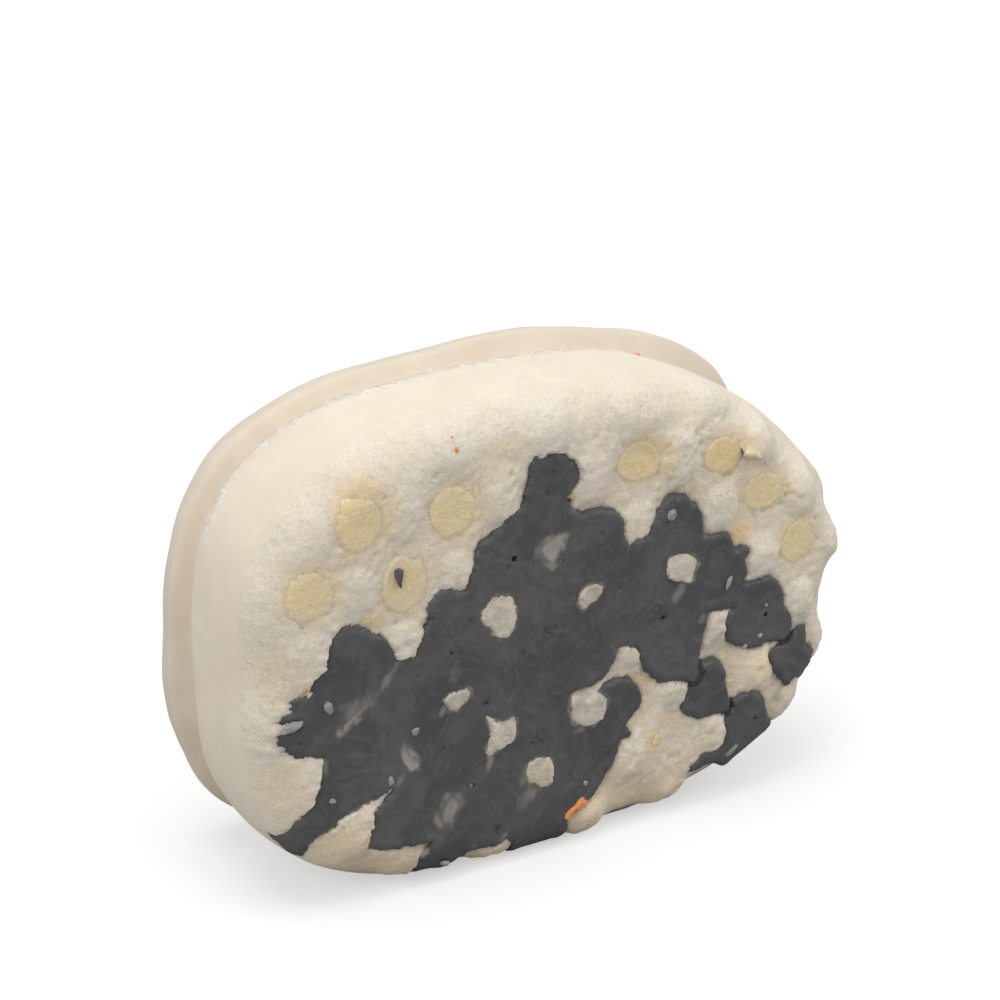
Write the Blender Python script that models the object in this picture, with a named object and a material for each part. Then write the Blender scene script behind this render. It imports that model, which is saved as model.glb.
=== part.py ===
"""Soap sponge: a moulded foam sponge with a grip groove round it, standing on its long edge.

The textured face looks towards -Y, the length runs along X and +Z is up. The origin lies on the
floor under the middle of the sponge. Foam nubs stand in a chequered lattice on the face. Charcoal
soap is poured over part of the face, clear soap fills some of the pockets, and a block of cream
soap fills the foam from behind. All lengths are in metres.
"""

import math

import bmesh
import bpy

for old in list(bpy.data.objects):
    bpy.data.objects.remove(old, do_unlink=True)

# Foam body
HALF_LENGTH = 0.0630
HALF_HEIGHT = 0.0447
FRONT_ROUND = 0.0080
REAR_ROUND = 0.0100
FRONT_LOBE_DEPTH = 0.0250
SIDE_CROWN = 0.0006
GRIP_WIDTH = 0.0100
GRIP_INSET = 0.0050
REAR_LOBE_DEPTH = 0.0105
REAR_RISE = 0.0005
REAR_SPREAD = 0.0007
FOOT_CUT = 0.0008

# How square each corner of the outline is, from the top right round by the left: 2 is an
# ellipse, higher is squarer. The rear lobe is a little squarer at the right than the front one.
FRONT_POWERS = (2.25, 3.2, 3.2, 2.5)
REAR_POWERS = (2.75, 2.75, 3.4, 2.7)

# Nub lattice on the face: a nub where column + row is even, a pocket where it is odd.
# The mould's pattern spans the face, so its pitches and its start are shares of the half sizes.
NUB_HEIGHT = 0.0060
COLUMN_PITCH_SHARE = 0.1525
ROW_PITCH_SHARE = 0.2545
LATTICE_LEFT_SHARE = 0.229
LATTICE_ABOVE_SHARE = 0.110

# Cream soap block behind, and the hollow that holds it
CORE_HALF_LENGTH = 0.0400
CORE_HALF_HEIGHT = 0.0240
FRONT_WALL = 0.0220
SEAT_GAP = 0.0003

# Soap film on the face
FILM_SINK = 0.0006
FILM_REACH = 0.0120
FACE_GAP = 0.00045
POOL_SINK = 0.0028
CHIP_PROUD = 0.0003
CHIP_DEPTH = 0.0011
CRUMB_RADIUS = 0.0010
LARGE_CRUMB_RADIUS = 0.0016
FLECK_HALF_LENGTH = 0.0023
FLECK_HALF_HEIGHT = 0.0012
SPECK_HALF_LENGTH = 0.0012
SPECK_HALF_HEIGHT = 0.0018
SPECK_PROUD = 0.0010
SPECK_BED = 0.0008
OVERRUN = 0.0020
MERGE_DISTANCE = 0.00002

# Mesh counts
COLUMNS = 38
ROWS = 28
ROUND_STEPS = 3
GRIP_STEPS = 6
CHIP_SIDES = 9
POOL_SIDES = 12

# Derived sizes and places
DEPTH = FRONT_LOBE_DEPTH + GRIP_WIDTH + REAR_LOBE_DEPTH
CORE_DEPTH = DEPTH - FRONT_WALL
NUB_COLUMN_PITCH = COLUMN_PITCH_SHARE * HALF_LENGTH
NUB_ROW_PITCH = ROW_PITCH_SHARE * HALF_HEIGHT
LATTICE_LEFT = LATTICE_LEFT_SHARE * HALF_LENGTH
LATTICE_ABOVE = LATTICE_ABOVE_SHARE * HALF_HEIGHT
FRONT_Y = -DEPTH / 2
REAR_Y = DEPTH / 2
MIDDLE_Z = HALF_HEIGHT - FOOT_CUT
GRIP_START = FRONT_LOBE_DEPTH

# Outlines on the face, as shares of the half length and the half height from the middle
POUR_OUTLINE_SHARES = (
    (-0.13, 0.74), (-0.06, 0.77), (0.02, 0.70), (0.02, 0.60), (-0.01, 0.54), (0.06, 0.49),
    (0.17, 0.45), (0.21, 0.30), (0.28, 0.32), (0.33, 0.43), (0.39, 0.46), (0.45, 0.41),
    (0.48, 0.27), (0.56, 0.23), (0.64, 0.14), (0.64, -0.01), (0.73, 0.00), (0.79, -0.09),
    (0.82, -0.24), (0.76, -0.31), (0.66, -0.31), (0.58, -0.22), (0.56, -0.10), (0.51, -0.10),
    (0.46, -0.25), (0.43, -0.38), (0.34, -0.31), (0.26, -0.19), (0.17, -0.18), (0.06, -0.27),
    (0.03, -0.36), (0.12, -0.33), (0.19, -0.28), (0.26, -0.37), (0.25, -0.46), (0.21, -0.55),
    (0.14, -0.68), (0.08, -0.80), (0.05, -1.02), (-0.20, -1.02), (-0.44, -1.02), (-0.49, -0.90),
    (-0.47, -0.80), (-0.64, -0.80), (-0.66, -0.70), (-0.64, -0.58), (-0.60, -0.52),
    (-0.73, -0.55), (-0.80, -0.64), (-0.88, -0.72), (-0.97, -0.60), (-0.85, -0.49),
    (-0.81, -0.37), (-0.82, -0.28), (-0.94, -0.22), (-0.95, -0.11), (-0.90, -0.02),
    (-0.82, 0.02), (-0.79, 0.15), (-0.75, 0.23), (-0.68, 0.23), (-0.61, 0.15), (-0.58, 0.06),
    (-0.51, 0.06), (-0.46, 0.14), (-0.47, 0.24), (-0.41, 0.29), (-0.33, 0.30), (-0.31, 0.40),
    (-0.22, 0.53), (-0.14, 0.58),
)
ISLAND_OUTLINE_SHARES = (
    ((0.48, -0.36), (0.55, -0.36), (0.60, -0.46), (0.58, -0.55), (0.52, -0.60), (0.45, -0.52)),
    ((0.66, -0.50), (0.74, -0.58), (0.70, -0.71), (0.60, -0.80), (0.52, -0.80), (0.56, -0.70),
     (0.62, -0.62)),
    ((0.77, -0.36), (0.84, -0.34), (0.89, -0.42), (0.86, -0.52), (0.80, -0.54), (0.76, -0.45)),
)
SPECK_PLACE_SHARE = (-0.57, 0.40)
POOL_CELLS = ((3, 2), (5, 2), (6, 1), (7, 0), (-3, 2), (-4, 1), (-1, 2), (-2, 1), (4, -3))
CRUMB_PLACE_SHARES = ((0.35, 0.39), (-0.79, -0.08), (0.06, -0.71), (0.70, -0.24))
LARGE_CRUMB_PLACE_SHARE = (-0.86, -0.12)
FLECK_PLACE_SHARE = (0.03, -0.82)
CHIP_RIM_SHARES = (1.0, 0.86, 1.0, 0.92, 0.78, 0.95, 0.88, 1.0, 0.82)


def outline_point(u, v, half_length, half_height, rise=0.0, rear=0.0):
    """Place a point of the unit square inside the rounded outline, from front to rear shape."""
    if v >= 0:
        corner = 0 if u >= 0 else 1
        tall = half_height + rise
    else:
        corner = 3 if u >= 0 else 2
        tall = half_height
    power = FRONT_POWERS[corner] * (1 - rear) + REAR_POWERS[corner] * rear
    x = half_length * u * (1 - abs(v) ** power / 2) ** (1 / power)
    z = tall * v * (1 - abs(u) ** power / 2) ** (1 / power)
    return x, z


def nub_dip(x, z):
    """Depth of the foam below its nub tips, at a place measured from the middle of the face."""
    across = math.cos(math.pi * (x + LATTICE_LEFT) / NUB_COLUMN_PITCH)
    upwards = math.cos(math.pi * (z - LATTICE_ABOVE) / NUB_ROW_PITCH)
    return NUB_HEIGHT * (1 - across * upwards) / 2


def border_square():
    """The unit square's border, once round, as column and row numbers."""
    loop = [(i, 0) for i in range(COLUMNS)]
    loop += [(COLUMNS, j) for j in range(ROWS)]
    loop += [(i, ROWS) for i in range(COLUMNS, 0, -1)]
    loop += [(0, j) for j in range(ROWS, 0, -1)]
    return loop


BORDER = border_square()


def unit(i, j):
    return 2 * i / COLUMNS - 1, 2 * j / ROWS - 1


def side_stations():
    """Depth, inset, share of the rear shape and turn of each ring, from the face to the back."""
    stations = []
    for k in range(1, ROUND_STEPS + 1):
        turn = math.pi / 2 * k / ROUND_STEPS
        depth = FRONT_ROUND * (1 - math.cos(turn))
        inset = FRONT_ROUND * (1 - math.sin(turn))
        stations.append((depth, inset, 0.0, turn))
    middle = (FRONT_ROUND + GRIP_START) / 2
    stations.append((middle, -SIDE_CROWN, 0.0, None))
    for k in range(GRIP_STEPS + 1):
        share = k / GRIP_STEPS
        depth = GRIP_START + GRIP_WIDTH * share
        inset = GRIP_INSET * math.sin(math.pi * share) ** 1.5
        spread = REAR_SPREAD * share
        stations.append((depth, inset - spread, share, None))
    for k in range(ROUND_STEPS + 1):
        turn = math.pi / 2 * (1 - k / ROUND_STEPS)
        depth = DEPTH - REAR_ROUND * (1 - math.cos(turn))
        inset = REAR_ROUND * (1 - math.sin(turn))
        stations.append((depth, inset - REAR_SPREAD, 1.0, None))
    return stations


def finish_mesh(name, bm):
    bmesh.ops.recalc_face_normals(bm, faces=bm.faces)
    mesh = bpy.data.meshes.new(name)
    bm.to_mesh(mesh)
    bm.free()
    obj = bpy.data.objects.new(name, mesh)
    bpy.context.collection.objects.link(obj)
    return obj


def skin_rings(bm, stations, with_nubs, sink):
    """Add the face grid and the rings round the side, sunk by the given amount. Return the last ring."""
    rim_length = HALF_LENGTH - FRONT_ROUND - sink
    rim_height = HALF_HEIGHT - FRONT_ROUND - sink
    grid = {}
    for i in range(COLUMNS + 1):
        for j in range(ROWS + 1):
            u, v = unit(i, j)
            x, z = outline_point(u, v, rim_length, rim_height)
            dip = nub_dip(x, z) if with_nubs else 0.0
            grid[i, j] = bm.verts.new((x, FRONT_Y + sink + dip, max(MIDDLE_Z + z, sink)))
    for i in range(COLUMNS):
        for j in range(ROWS):
            bm.faces.new((grid[i, j], grid[i + 1, j], grid[i + 1, j + 1]))
            bm.faces.new((grid[i, j], grid[i + 1, j + 1], grid[i, j + 1]))
    ring = [grid[place] for place in BORDER]
    for depth, inset, rear, turn in stations:
        half_length = HALF_LENGTH - inset - sink
        half_height = HALF_HEIGHT - inset - sink
        start = FRONT_Y + depth
        if turn is not None:
            start += sink * math.cos(turn)
        new_ring = []
        for i, j in BORDER:
            u, v = unit(i, j)
            x, z = outline_point(u, v, half_length, half_height, REAR_RISE * rear, rear)
            y = start
            if with_nubs and turn is not None:
                dip = nub_dip(x, z) * math.sqrt(max(math.cos(turn), 0.0))
                y += dip * math.cos(turn)
                inward = dip * math.sin(turn)
                x, z = outline_point(u, v, half_length - inward, half_height - inward)
            new_ring.append(bm.verts.new((x, y, max(MIDDLE_Z + z, sink))))
        join_rings(bm, ring, new_ring)
        ring = new_ring
    return ring


def join_rings(bm, first, second):
    for k in range(len(first)):
        nxt = (k + 1) % len(first)
        bm.faces.new((first[k], first[nxt], second[nxt]))
        bm.faces.new((first[k], second[nxt], second[k]))


def flat_ring(bm, half_length, half_height, y):
    ring = []
    for i, j in BORDER:
        u, v = unit(i, j)
        x, z = outline_point(u, v, half_length, half_height, rear=1.0)
        ring.append(bm.verts.new((x, y, MIDDLE_Z + z)))
    return ring


def make_foam():
    """The foam body: face, grip groove, rear lobe and the hollow behind."""
    bm = bmesh.new()
    last = skin_rings(bm, side_stations(), True, 0.0)
    mouth = flat_ring(bm, CORE_HALF_LENGTH, CORE_HALF_HEIGHT, REAR_Y)
    floor = flat_ring(bm, CORE_HALF_LENGTH, CORE_HALF_HEIGHT, REAR_Y - CORE_DEPTH)
    join_rings(bm, last, mouth)
    join_rings(bm, mouth, floor)
    bm.faces.new(floor)
    return finish_mesh("sponge_foam", bm)


def make_core():
    """The cream soap block that fills the hollow, flush with the foam's back."""
    bm = bmesh.new()
    half_length = CORE_HALF_LENGTH - SEAT_GAP
    half_height = CORE_HALF_HEIGHT - SEAT_GAP
    front = flat_ring(bm, half_length, half_height, REAR_Y - CORE_DEPTH + SEAT_GAP)
    back = flat_ring(bm, half_length, half_height, REAR_Y)
    join_rings(bm, front, back)
    bm.faces.new(front)
    bm.faces.new(back)
    return finish_mesh("cream_soap_core", bm)


def guide(obj):
    """Mark the object as a cutter or guide, which isn't part of the sponge."""
    obj.hide_render = True
    obj.display_type = "WIRE"
    return obj


def face_body(name, with_nubs, sink, swell, reach):
    """A closed body of the face's own shape, which trims the soap film."""
    bm = bmesh.new()
    stations = [s for s in side_stations() if s[0] < reach]
    stations.append((reach, 0.0, 0.0, None))
    last = skin_rings(bm, stations, with_nubs, sink)
    bm.faces.new(last)
    bmesh.ops.recalc_face_normals(bm, faces=bm.faces)
    bm.normal_update()
    moves = [(v, v.normal * swell) for v in bm.verts]
    for vert, move in moves:
        vert.co += move
    return guide(finish_mesh(name, bm))


def prism(name, outline, front_y, back_y):
    """A straight block with the given outline, drawn on the face."""
    bm = bmesh.new()
    near = [bm.verts.new((x, front_y, z)) for x, z in outline]
    face = bm.faces.new(near)
    moved = bmesh.ops.extrude_face_region(bm, geom=[face])["geom"]
    for item in moved:
        if isinstance(item, bmesh.types.BMVert):
            item.co.y = back_y
    return finish_mesh(name, bm)


def face_place(share):
    return share[0] * HALF_LENGTH, MIDDLE_Z + share[1] * HALF_HEIGHT


def largest_body(bm):
    """Keep only the largest joined body of the mesh."""
    left = set(bm.faces)
    bodies = []
    while left:
        start = min(left, key=lambda f: f.index)
        body = {start}
        todo = [start]
        while todo:
            face = todo.pop()
            for edge in face.edges:
                for other in edge.link_faces:
                    if other not in body:
                        body.add(other)
                        todo.append(other)
        left -= body
        bodies.append(body)
    bodies.sort(key=lambda b: sum(f.calc_area() for f in b), reverse=True)
    spare = [f for body in bodies[1:] for f in body]
    bmesh.ops.delete(bm, geom=spare, context="FACES")


def trim(obj, cuts):
    """Cut the object by each body in turn and keep the largest piece left."""
    for number, (operation, cutter) in enumerate(cuts):
        cut = obj.modifiers.new(f"cut_{number}", "BOOLEAN")
        cut.operation = operation
        cut.solver = "EXACT"
        cut.object = cutter
    bpy.context.view_layer.update()
    graph = bpy.context.evaluated_depsgraph_get()
    cut_mesh = bpy.data.meshes.new_from_object(obj.evaluated_get(graph))
    bm = bmesh.new()
    bm.from_mesh(cut_mesh)
    for place, vert in enumerate(sorted(bm.verts, key=lambda v: tuple(v.co))):
        vert.index = place
    bm.verts.sort()
    bmesh.ops.remove_doubles(bm, verts=bm.verts, dist=MERGE_DISTANCE)
    bmesh.ops.triangulate(bm, faces=bm.faces)
    bmesh.ops.dissolve_degenerate(bm, edges=bm.edges, dist=MERGE_DISTANCE)
    bm.faces.index_update()
    largest_body(bm)
    obj.modifiers.clear()
    bm.to_mesh(obj.data)
    bm.free()
    bpy.data.meshes.remove(cut_mesh)
    return obj


def chip_outline(place, half_length, half_height):
    """A rough rounded outline round a place on the face."""
    x0, z0 = face_place(place)
    points = []
    for k, share in zip(range(CHIP_SIDES), CHIP_RIM_SHARES):
        turn = 2 * math.pi * k / CHIP_SIDES
        points.append((x0 + half_length * share * math.cos(turn),
                       z0 + half_height * share * math.sin(turn)))
    return points


def pool_outline(cell):
    """A round outline over one pocket, which reaches just past the pocket's sides."""
    x0 = cell[0] * NUB_COLUMN_PITCH - LATTICE_LEFT
    z0 = MIDDLE_Z + cell[1] * NUB_ROW_PITCH + LATTICE_ABOVE
    radius = NUB_ROW_PITCH / 2
    points = []
    for k in range(POOL_SIDES):
        turn = 2 * math.pi * k / POOL_SIDES
        points.append((x0 + radius * math.cos(turn), z0 + radius * math.sin(turn)))
    return points


def material(name, colour, roughness, transmission=0.0):
    mat = bpy.data.materials.new(name)
    mat.use_nodes = True
    shader = mat.node_tree.nodes["Principled BSDF"]
    shader.inputs["Base Color"].default_value = (*colour, 1.0)
    shader.inputs["Roughness"].default_value = roughness
    shader.inputs["Metallic"].default_value = 0.0
    shader.inputs["Transmission Weight"].default_value = transmission
    mat.diffuse_color = (*colour, 1.0)
    return mat


def main():
    foam_look = material("cream_foam", (0.80, 0.72, 0.57), 0.85)
    core_look = material("cream_soap", (0.78, 0.69, 0.53), 0.45)
    charcoal_look = material("charcoal_soap", (0.080, 0.080, 0.085), 0.45)
    pool_look = material("clear_soap", (0.62, 0.50, 0.30), 0.25, 0.3)
    crumb_look = material("pale_soap", (0.82, 0.78, 0.66), 0.5)
    fleck_look = material("orange_soap", (0.90, 0.26, 0.06), 0.4)

    foam = make_foam()
    foam.data.materials.append(foam_look)
    core = make_core()
    core.data.materials.append(core_look)

    mould = face_body("film_front_guide", False, FILM_SINK, 0.0, FILM_REACH)
    pool_level = face_body("pool_front_guide", False, POOL_SINK, 0.0, FILM_REACH)
    clear = face_body("foam_room_guide", True, 0.0, FACE_GAP, FILM_REACH + OVERRUN)
    front = FRONT_Y - OVERRUN
    behind = FRONT_Y + FILM_REACH + OVERRUN

    chips = [("orange_fleck", FLECK_PLACE_SHARE, FLECK_HALF_LENGTH, FLECK_HALF_HEIGHT, fleck_look)]
    for number, place in enumerate(CRUMB_PLACE_SHARES, 1):
        chips.append((f"soap_crumb_{number}", place, CRUMB_RADIUS, CRUMB_RADIUS, crumb_look))
    chips.append(("soap_crumb_large", LARGE_CRUMB_PLACE_SHARE, LARGE_CRUMB_RADIUS,
                  LARGE_CRUMB_RADIUS, crumb_look))

    chip_front = FRONT_Y + FILM_SINK - CHIP_PROUD
    chip_back = chip_front + CHIP_DEPTH
    seats = []
    for name, place, half_length, half_height, look in chips:
        outline = chip_outline(place, half_length, half_height)
        chip = trim(prism(name, outline, chip_front, chip_back), [("DIFFERENCE", clear)])
        chip.data.materials.clear()
        chip.data.materials.append(look)
        room = chip_outline(place, half_length + SEAT_GAP, half_height + SEAT_GAP)
        seat = guide(prism(f"{name}_seat_guide", room, front, chip_back + SEAT_GAP))
        seats.append(("DIFFERENCE", seat))

    fit = [("INTERSECT", mould), ("DIFFERENCE", clear)]
    pool_fit = [("INTERSECT", pool_level), ("DIFFERENCE", clear)]
    pour_outline = [face_place(share) for share in POUR_OUTLINE_SHARES]
    pieces = [("charcoal_soap_pour", pour_outline, charcoal_look, fit + seats)]
    for number, shares in enumerate(ISLAND_OUTLINE_SHARES, 1):
        outline = [face_place(share) for share in shares]
        pieces.append((f"charcoal_soap_island_{number}", outline, charcoal_look, fit))
    speck_front = FRONT_Y + POOL_SINK - SPECK_PROUD
    speck_back = FRONT_Y + POOL_SINK + SPECK_BED
    speck_outline = chip_outline(SPECK_PLACE_SHARE, SPECK_HALF_LENGTH, SPECK_HALF_HEIGHT)
    speck = prism("charcoal_soap_speck", speck_outline, speck_front, speck_back)
    trim(speck, [("DIFFERENCE", clear)])
    speck.data.materials.clear()
    speck.data.materials.append(charcoal_look)
    speck_room = chip_outline(SPECK_PLACE_SHARE, SPECK_HALF_LENGTH + SEAT_GAP,
                              SPECK_HALF_HEIGHT + SEAT_GAP)
    speck_seat = guide(prism("speck_seat_guide", speck_room, front, speck_back + SEAT_GAP))
    pool_fit.append(("DIFFERENCE", speck_seat))
    for number, cell in enumerate(POOL_CELLS, 1):
        pieces.append((f"soap_pool_{number}", pool_outline(cell), pool_look, pool_fit))
    for name, outline, look, cuts in pieces:
        piece = trim(prism(name, outline, front, behind), cuts)
        piece.data.materials.clear()
        piece.data.materials.append(look)

    for obj in bpy.context.collection.objects:
        if obj.type == "MESH" and not obj.hide_render:
            obj.data.shade_smooth()
            obj.data.set_sharp_from_angle(angle=math.radians(40))


main()
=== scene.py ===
"""Soap sponge: the fine surfaces, materials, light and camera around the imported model.

The sponge stands on its long edge. Its nubbed face looks towards -Y, its length runs along X and
+Z is up. Every skin starts as a flat sheet in unit space, where X and Y place a point on the face
and Z counts the rings down the side, and is then bent to the sponge's shape. Lengths are in
metres.
"""

import math

import bmesh
import bpy
import numpy as np
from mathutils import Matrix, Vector, noise


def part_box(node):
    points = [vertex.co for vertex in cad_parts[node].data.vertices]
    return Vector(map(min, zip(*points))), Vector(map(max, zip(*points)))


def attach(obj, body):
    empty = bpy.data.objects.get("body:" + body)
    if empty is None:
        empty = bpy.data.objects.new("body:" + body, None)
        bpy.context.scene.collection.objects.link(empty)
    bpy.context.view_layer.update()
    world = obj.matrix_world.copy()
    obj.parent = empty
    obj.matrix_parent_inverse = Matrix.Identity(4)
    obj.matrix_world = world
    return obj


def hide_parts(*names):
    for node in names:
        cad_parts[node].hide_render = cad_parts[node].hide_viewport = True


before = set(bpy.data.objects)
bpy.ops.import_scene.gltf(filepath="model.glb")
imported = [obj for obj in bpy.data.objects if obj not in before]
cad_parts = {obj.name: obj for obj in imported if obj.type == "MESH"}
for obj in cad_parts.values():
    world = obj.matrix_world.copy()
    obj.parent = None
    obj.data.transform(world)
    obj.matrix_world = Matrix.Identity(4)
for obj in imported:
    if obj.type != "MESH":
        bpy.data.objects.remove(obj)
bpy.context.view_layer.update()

bl_info = {
    "name": "Soap Sponge",
    "version": (1, 0, 0),
    "blender": (4, 5, 0),
    "location": "View3D > Sidebar > Sponge",
    "description": "Makes a nubbed foam sponge filled and coated with soap",
    "category": "Add Mesh",
}

FOAM_LOW, FOAM_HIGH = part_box("sponge_foam")
CORE_LOW, CORE_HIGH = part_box("cream_soap_core")
MM = 0.001
BODY = "root"

# How square each corner of the outline is, from the top right round by the left: 2 is an
# ellipse, higher is squarer
FRONT_POWERS = (2.25, 3.2, 3.2, 2.5)
REAR_POWERS = (2.75, 2.75, 3.4, 2.7)

# Rings down the side of the foam, by zone
ROUND_RINGS = 12
LOBE_RINGS = 17
GRIP_RINGS = 16
BACK_RINGS = 10
FOAM_GRID = (216, 150)
FILM_GRID = (264, 184)
FILM_SIDE_RINGS = 16
CORE_GRID = (90, 60)
CORE_RINGS = 8

# How far back the charcoal soap may run down the side, and how far back the squares are fine
SIDE_LIMIT = 9.5 * MM
FACE_DEPTH = 11 * MM
# Outside an outline this far, a place no longer counts as near it
OUTSIDE = -3 * MM

# The core: rounding of its rim, height of its crown, and how far its rim lies behind the crown
CORE_ROUND = 3 * MM
CORE_CROWN = 0.9 * MM
CORE_RIM_DROP = 1.6 * MM
CORE_SINK = 0.3 * MM

# How far light travels in the foam, in foam full of clear soap and in opaque soap, in metres
FOAM_GLOW = 0.0014
POOL_GLOW = 0.0007
SOAP_GLOW = 0.003

# Outlines of the charcoal soap on the face, in millimetres from the middle of the sponge
POUR_OUTLINE = (
    (-8.3, 30.0), (-8.6, 32.0), (-8.3, 33.8), (-7.2, 34.2), (-6.6, 33.4), (-4.9, 34.0),
    (-3.7, 34.2), (-1.9, 33.6), (-0.4, 32.7), (0.9, 31.6), (1.8, 30.1), (1.9, 28.7),
    (1.3, 27.4), (0.1, 25.8), (-0.6, 25.1), (-0.3, 23.8), (1.0, 22.4), (3.0, 21.1),
    (5.6, 21.7), (8.2, 20.9), (10.3, 20.1), (11.5, 18.2), (11.3, 17.0), (11.8, 14.7),
    (12.5, 13.1), (13.6, 12.8), (14.5, 14.0), (16.1, 13.9), (17.4, 14.2), (17.7, 15.4),
    (19.2, 17.0), (20.3, 18.4), (21.0, 19.9), (21.7, 20.7), (23.9, 20.5), (25.9, 20.1),
    (26.8, 18.6), (28.0, 18.0), (28.9, 16.1), (29.2, 13.7), (29.5, 11.7), (32.1, 11.0),
    (34.4, 11.3), (35.5, 10.3), (36.2, 9.3), (36.9, 7.3), (38.2, 7.1), (39.0, 7.6),
    (40.2, 6.6), (39.0, 5.6), (38.8, 4.8), (39.7, 2.8), (39.3, 1.5), (39.0, 0.6),
    (39.5, -0.1), (41.0, -0.1), (42.9, 0.1), (44.5, 0.3), (46.3, -0.4), (47.7, -1.9),
    (48.6, -4.1), (48.5, -5.9), (49.5, -7.5), (50.6, -10.0), (50.5, -12.4), (49.2, -13.5),
    (47.0, -12.9), (45.0, -12.7), (43.4, -13.3), (40.7, -13.0), (38.9, -12.1), (35.9, -10.6),
    (35.5, -8.3), (35.4, -6.1), (36.1, -4.9), (37.9, -4.1), (35.3, -3.9), (32.6, -3.4),
    (30.9, -3.7), (30.7, -5.5), (30.1, -7.4), (29.8, -9.7), (29.3, -11.9), (28.9, -13.5),
    (29.3, -16.0), (28.0, -17.2), (25.7, -16.0), (22.2, -15.5), (20.3, -14.9), (18.2, -13.2),
    (16.9, -11.4), (16.1, -9.4), (16.0, -7.5), (13.8, -6.4), (11.9, -5.8), (10.6, -6.0),
    (10.3, -7.5), (9.4, -9.3), (8.5, -10.8), (6.7, -12.0), (3.6, -12.6), (1.6, -12.7),
    (0.3, -13.2), (1.8, -13.8), (4.7, -14.5), (7.1, -14.0), (8.0, -13.3), (9.8, -12.9),
    (12.0, -13.1), (13.9, -13.4), (14.5, -14.5), (15.8, -16.0), (16.5, -17.9), (15.9, -19.3),
    (14.8, -20.3), (13.1, -21.8), (12.8, -22.9), (14.2, -24.6), (11.9, -24.5), (11.0, -26.2),
    (10.6, -27.8), (9.7, -29.4), (8.3, -31.8), (6.1, -34.5), (4.4, -35.7), (2.0, -37.0),
    (0.4, -38.4), (0.0, -39.8), (1.2, -41.5), (1.0, -46.5), (-10.5, -46.5), (-11.2, -41.5),
    (-12.3, -39.5), (-14.6, -39.9), (-15.3, -40.5), (-17.2, -40.3), (-18.9, -39.5),
    (-20.3, -40.2), (-23.4, -41.0), (-24.6, -46.5), (-31.5, -46.5), (-31.8, -40.0),
    (-31.4, -37.8), (-30.1, -36.5), (-29.0, -35.4), (-30.2, -35.3), (-32.3, -34.9),
    (-33.5, -35.1), (-34.8, -34.5), (-36.1, -34.7), (-38.1, -34.4), (-40.5, -33.9),
    (-42.2, -32.7), (-42.4, -31.9), (-41.6, -29.7), (-40.8, -28.3), (-41.0, -26.8),
    (-40.6, -25.6), (-39.0, -24.5), (-37.4, -23.0), (-36.9, -22.2), (-38.8, -23.0),
    (-40.3, -23.5), (-43.3, -23.9), (-45.0, -24.6), (-47.7, -25.5), (-48.6, -26.7),
    (-50.4, -27.5), (-52.1, -28.8), (-53.0, -30.2), (-53.2, -32.4), (-52.6, -38.0),
    (-58.6, -38.0), (-59.4, -33.5), (-58.8, -30.6), (-57.9, -28.6), (-56.9, -26.6),
    (-56.2, -24.0), (-54.2, -22.9), (-53.2, -21.4), (-52.4, -19.9), (-51.6, -18.2),
    (-51.1, -16.2), (-50.5, -14.3), (-51.0, -12.7), (-53.3, -12.2), (-55.4, -11.6),
    (-56.7, -11.2), (-58.7, -9.5), (-59.5, -8.3), (-59.2, -7.0), (-57.3, -6.6), (-55.9, -6.3),
    (-55.1, -5.7), (-55.4, -4.9), (-57.6, -4.8), (-59.4, -4.8), (-58.8, -3.7), (-57.2, -3.2),
    (-56.8, -2.3), (-57.5, -0.6), (-56.2, -0.3), (-54.9, -0.3), (-53.2, -0.7), (-52.3, -0.2),
    (-52.7, 1.3), (-51.8, 2.5), (-49.9, 3.2), (-49.6, 4.8), (-49.2, 6.9), (-48.6, 8.4),
    (-47.0, 9.8), (-46.3, 10.9), (-44.9, 10.5), (-43.0, 10.1), (-41.4, 9.1), (-40.4, 8.3),
    (-38.4, 7.2), (-37.0, 5.6), (-36.3, 4.0), (-35.9, 2.4), (-34.9, 1.6), (-33.5, 2.1),
    (-32.2, 2.1), (-31.8, 3.2), (-31.0, 4.3), (-30.2, 5.2), (-29.8, 6.2), (-29.0, 7.1),
    (-29.3, 8.9), (-29.7, 10.5), (-29.3, 11.7), (-28.2, 12.5), (-26.8, 13.2), (-25.2, 13.3),
    (-23.5, 12.7), (-21.9, 12.4), (-21.1, 13.0), (-20.6, 14.7), (-19.8, 16.0), (-19.4, 17.5),
    (-19.8, 18.4), (-19.2, 19.5), (-18.6, 20.6), (-16.8, 21.0), (-15.8, 21.9), (-14.7, 22.3),
    (-13.6, 23.3), (-12.5, 24.2), (-11.1, 24.5), (-9.9, 25.2), (-9.4, 26.7), (-9.4, 27.9),
    (-8.8, 28.9),
)
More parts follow.
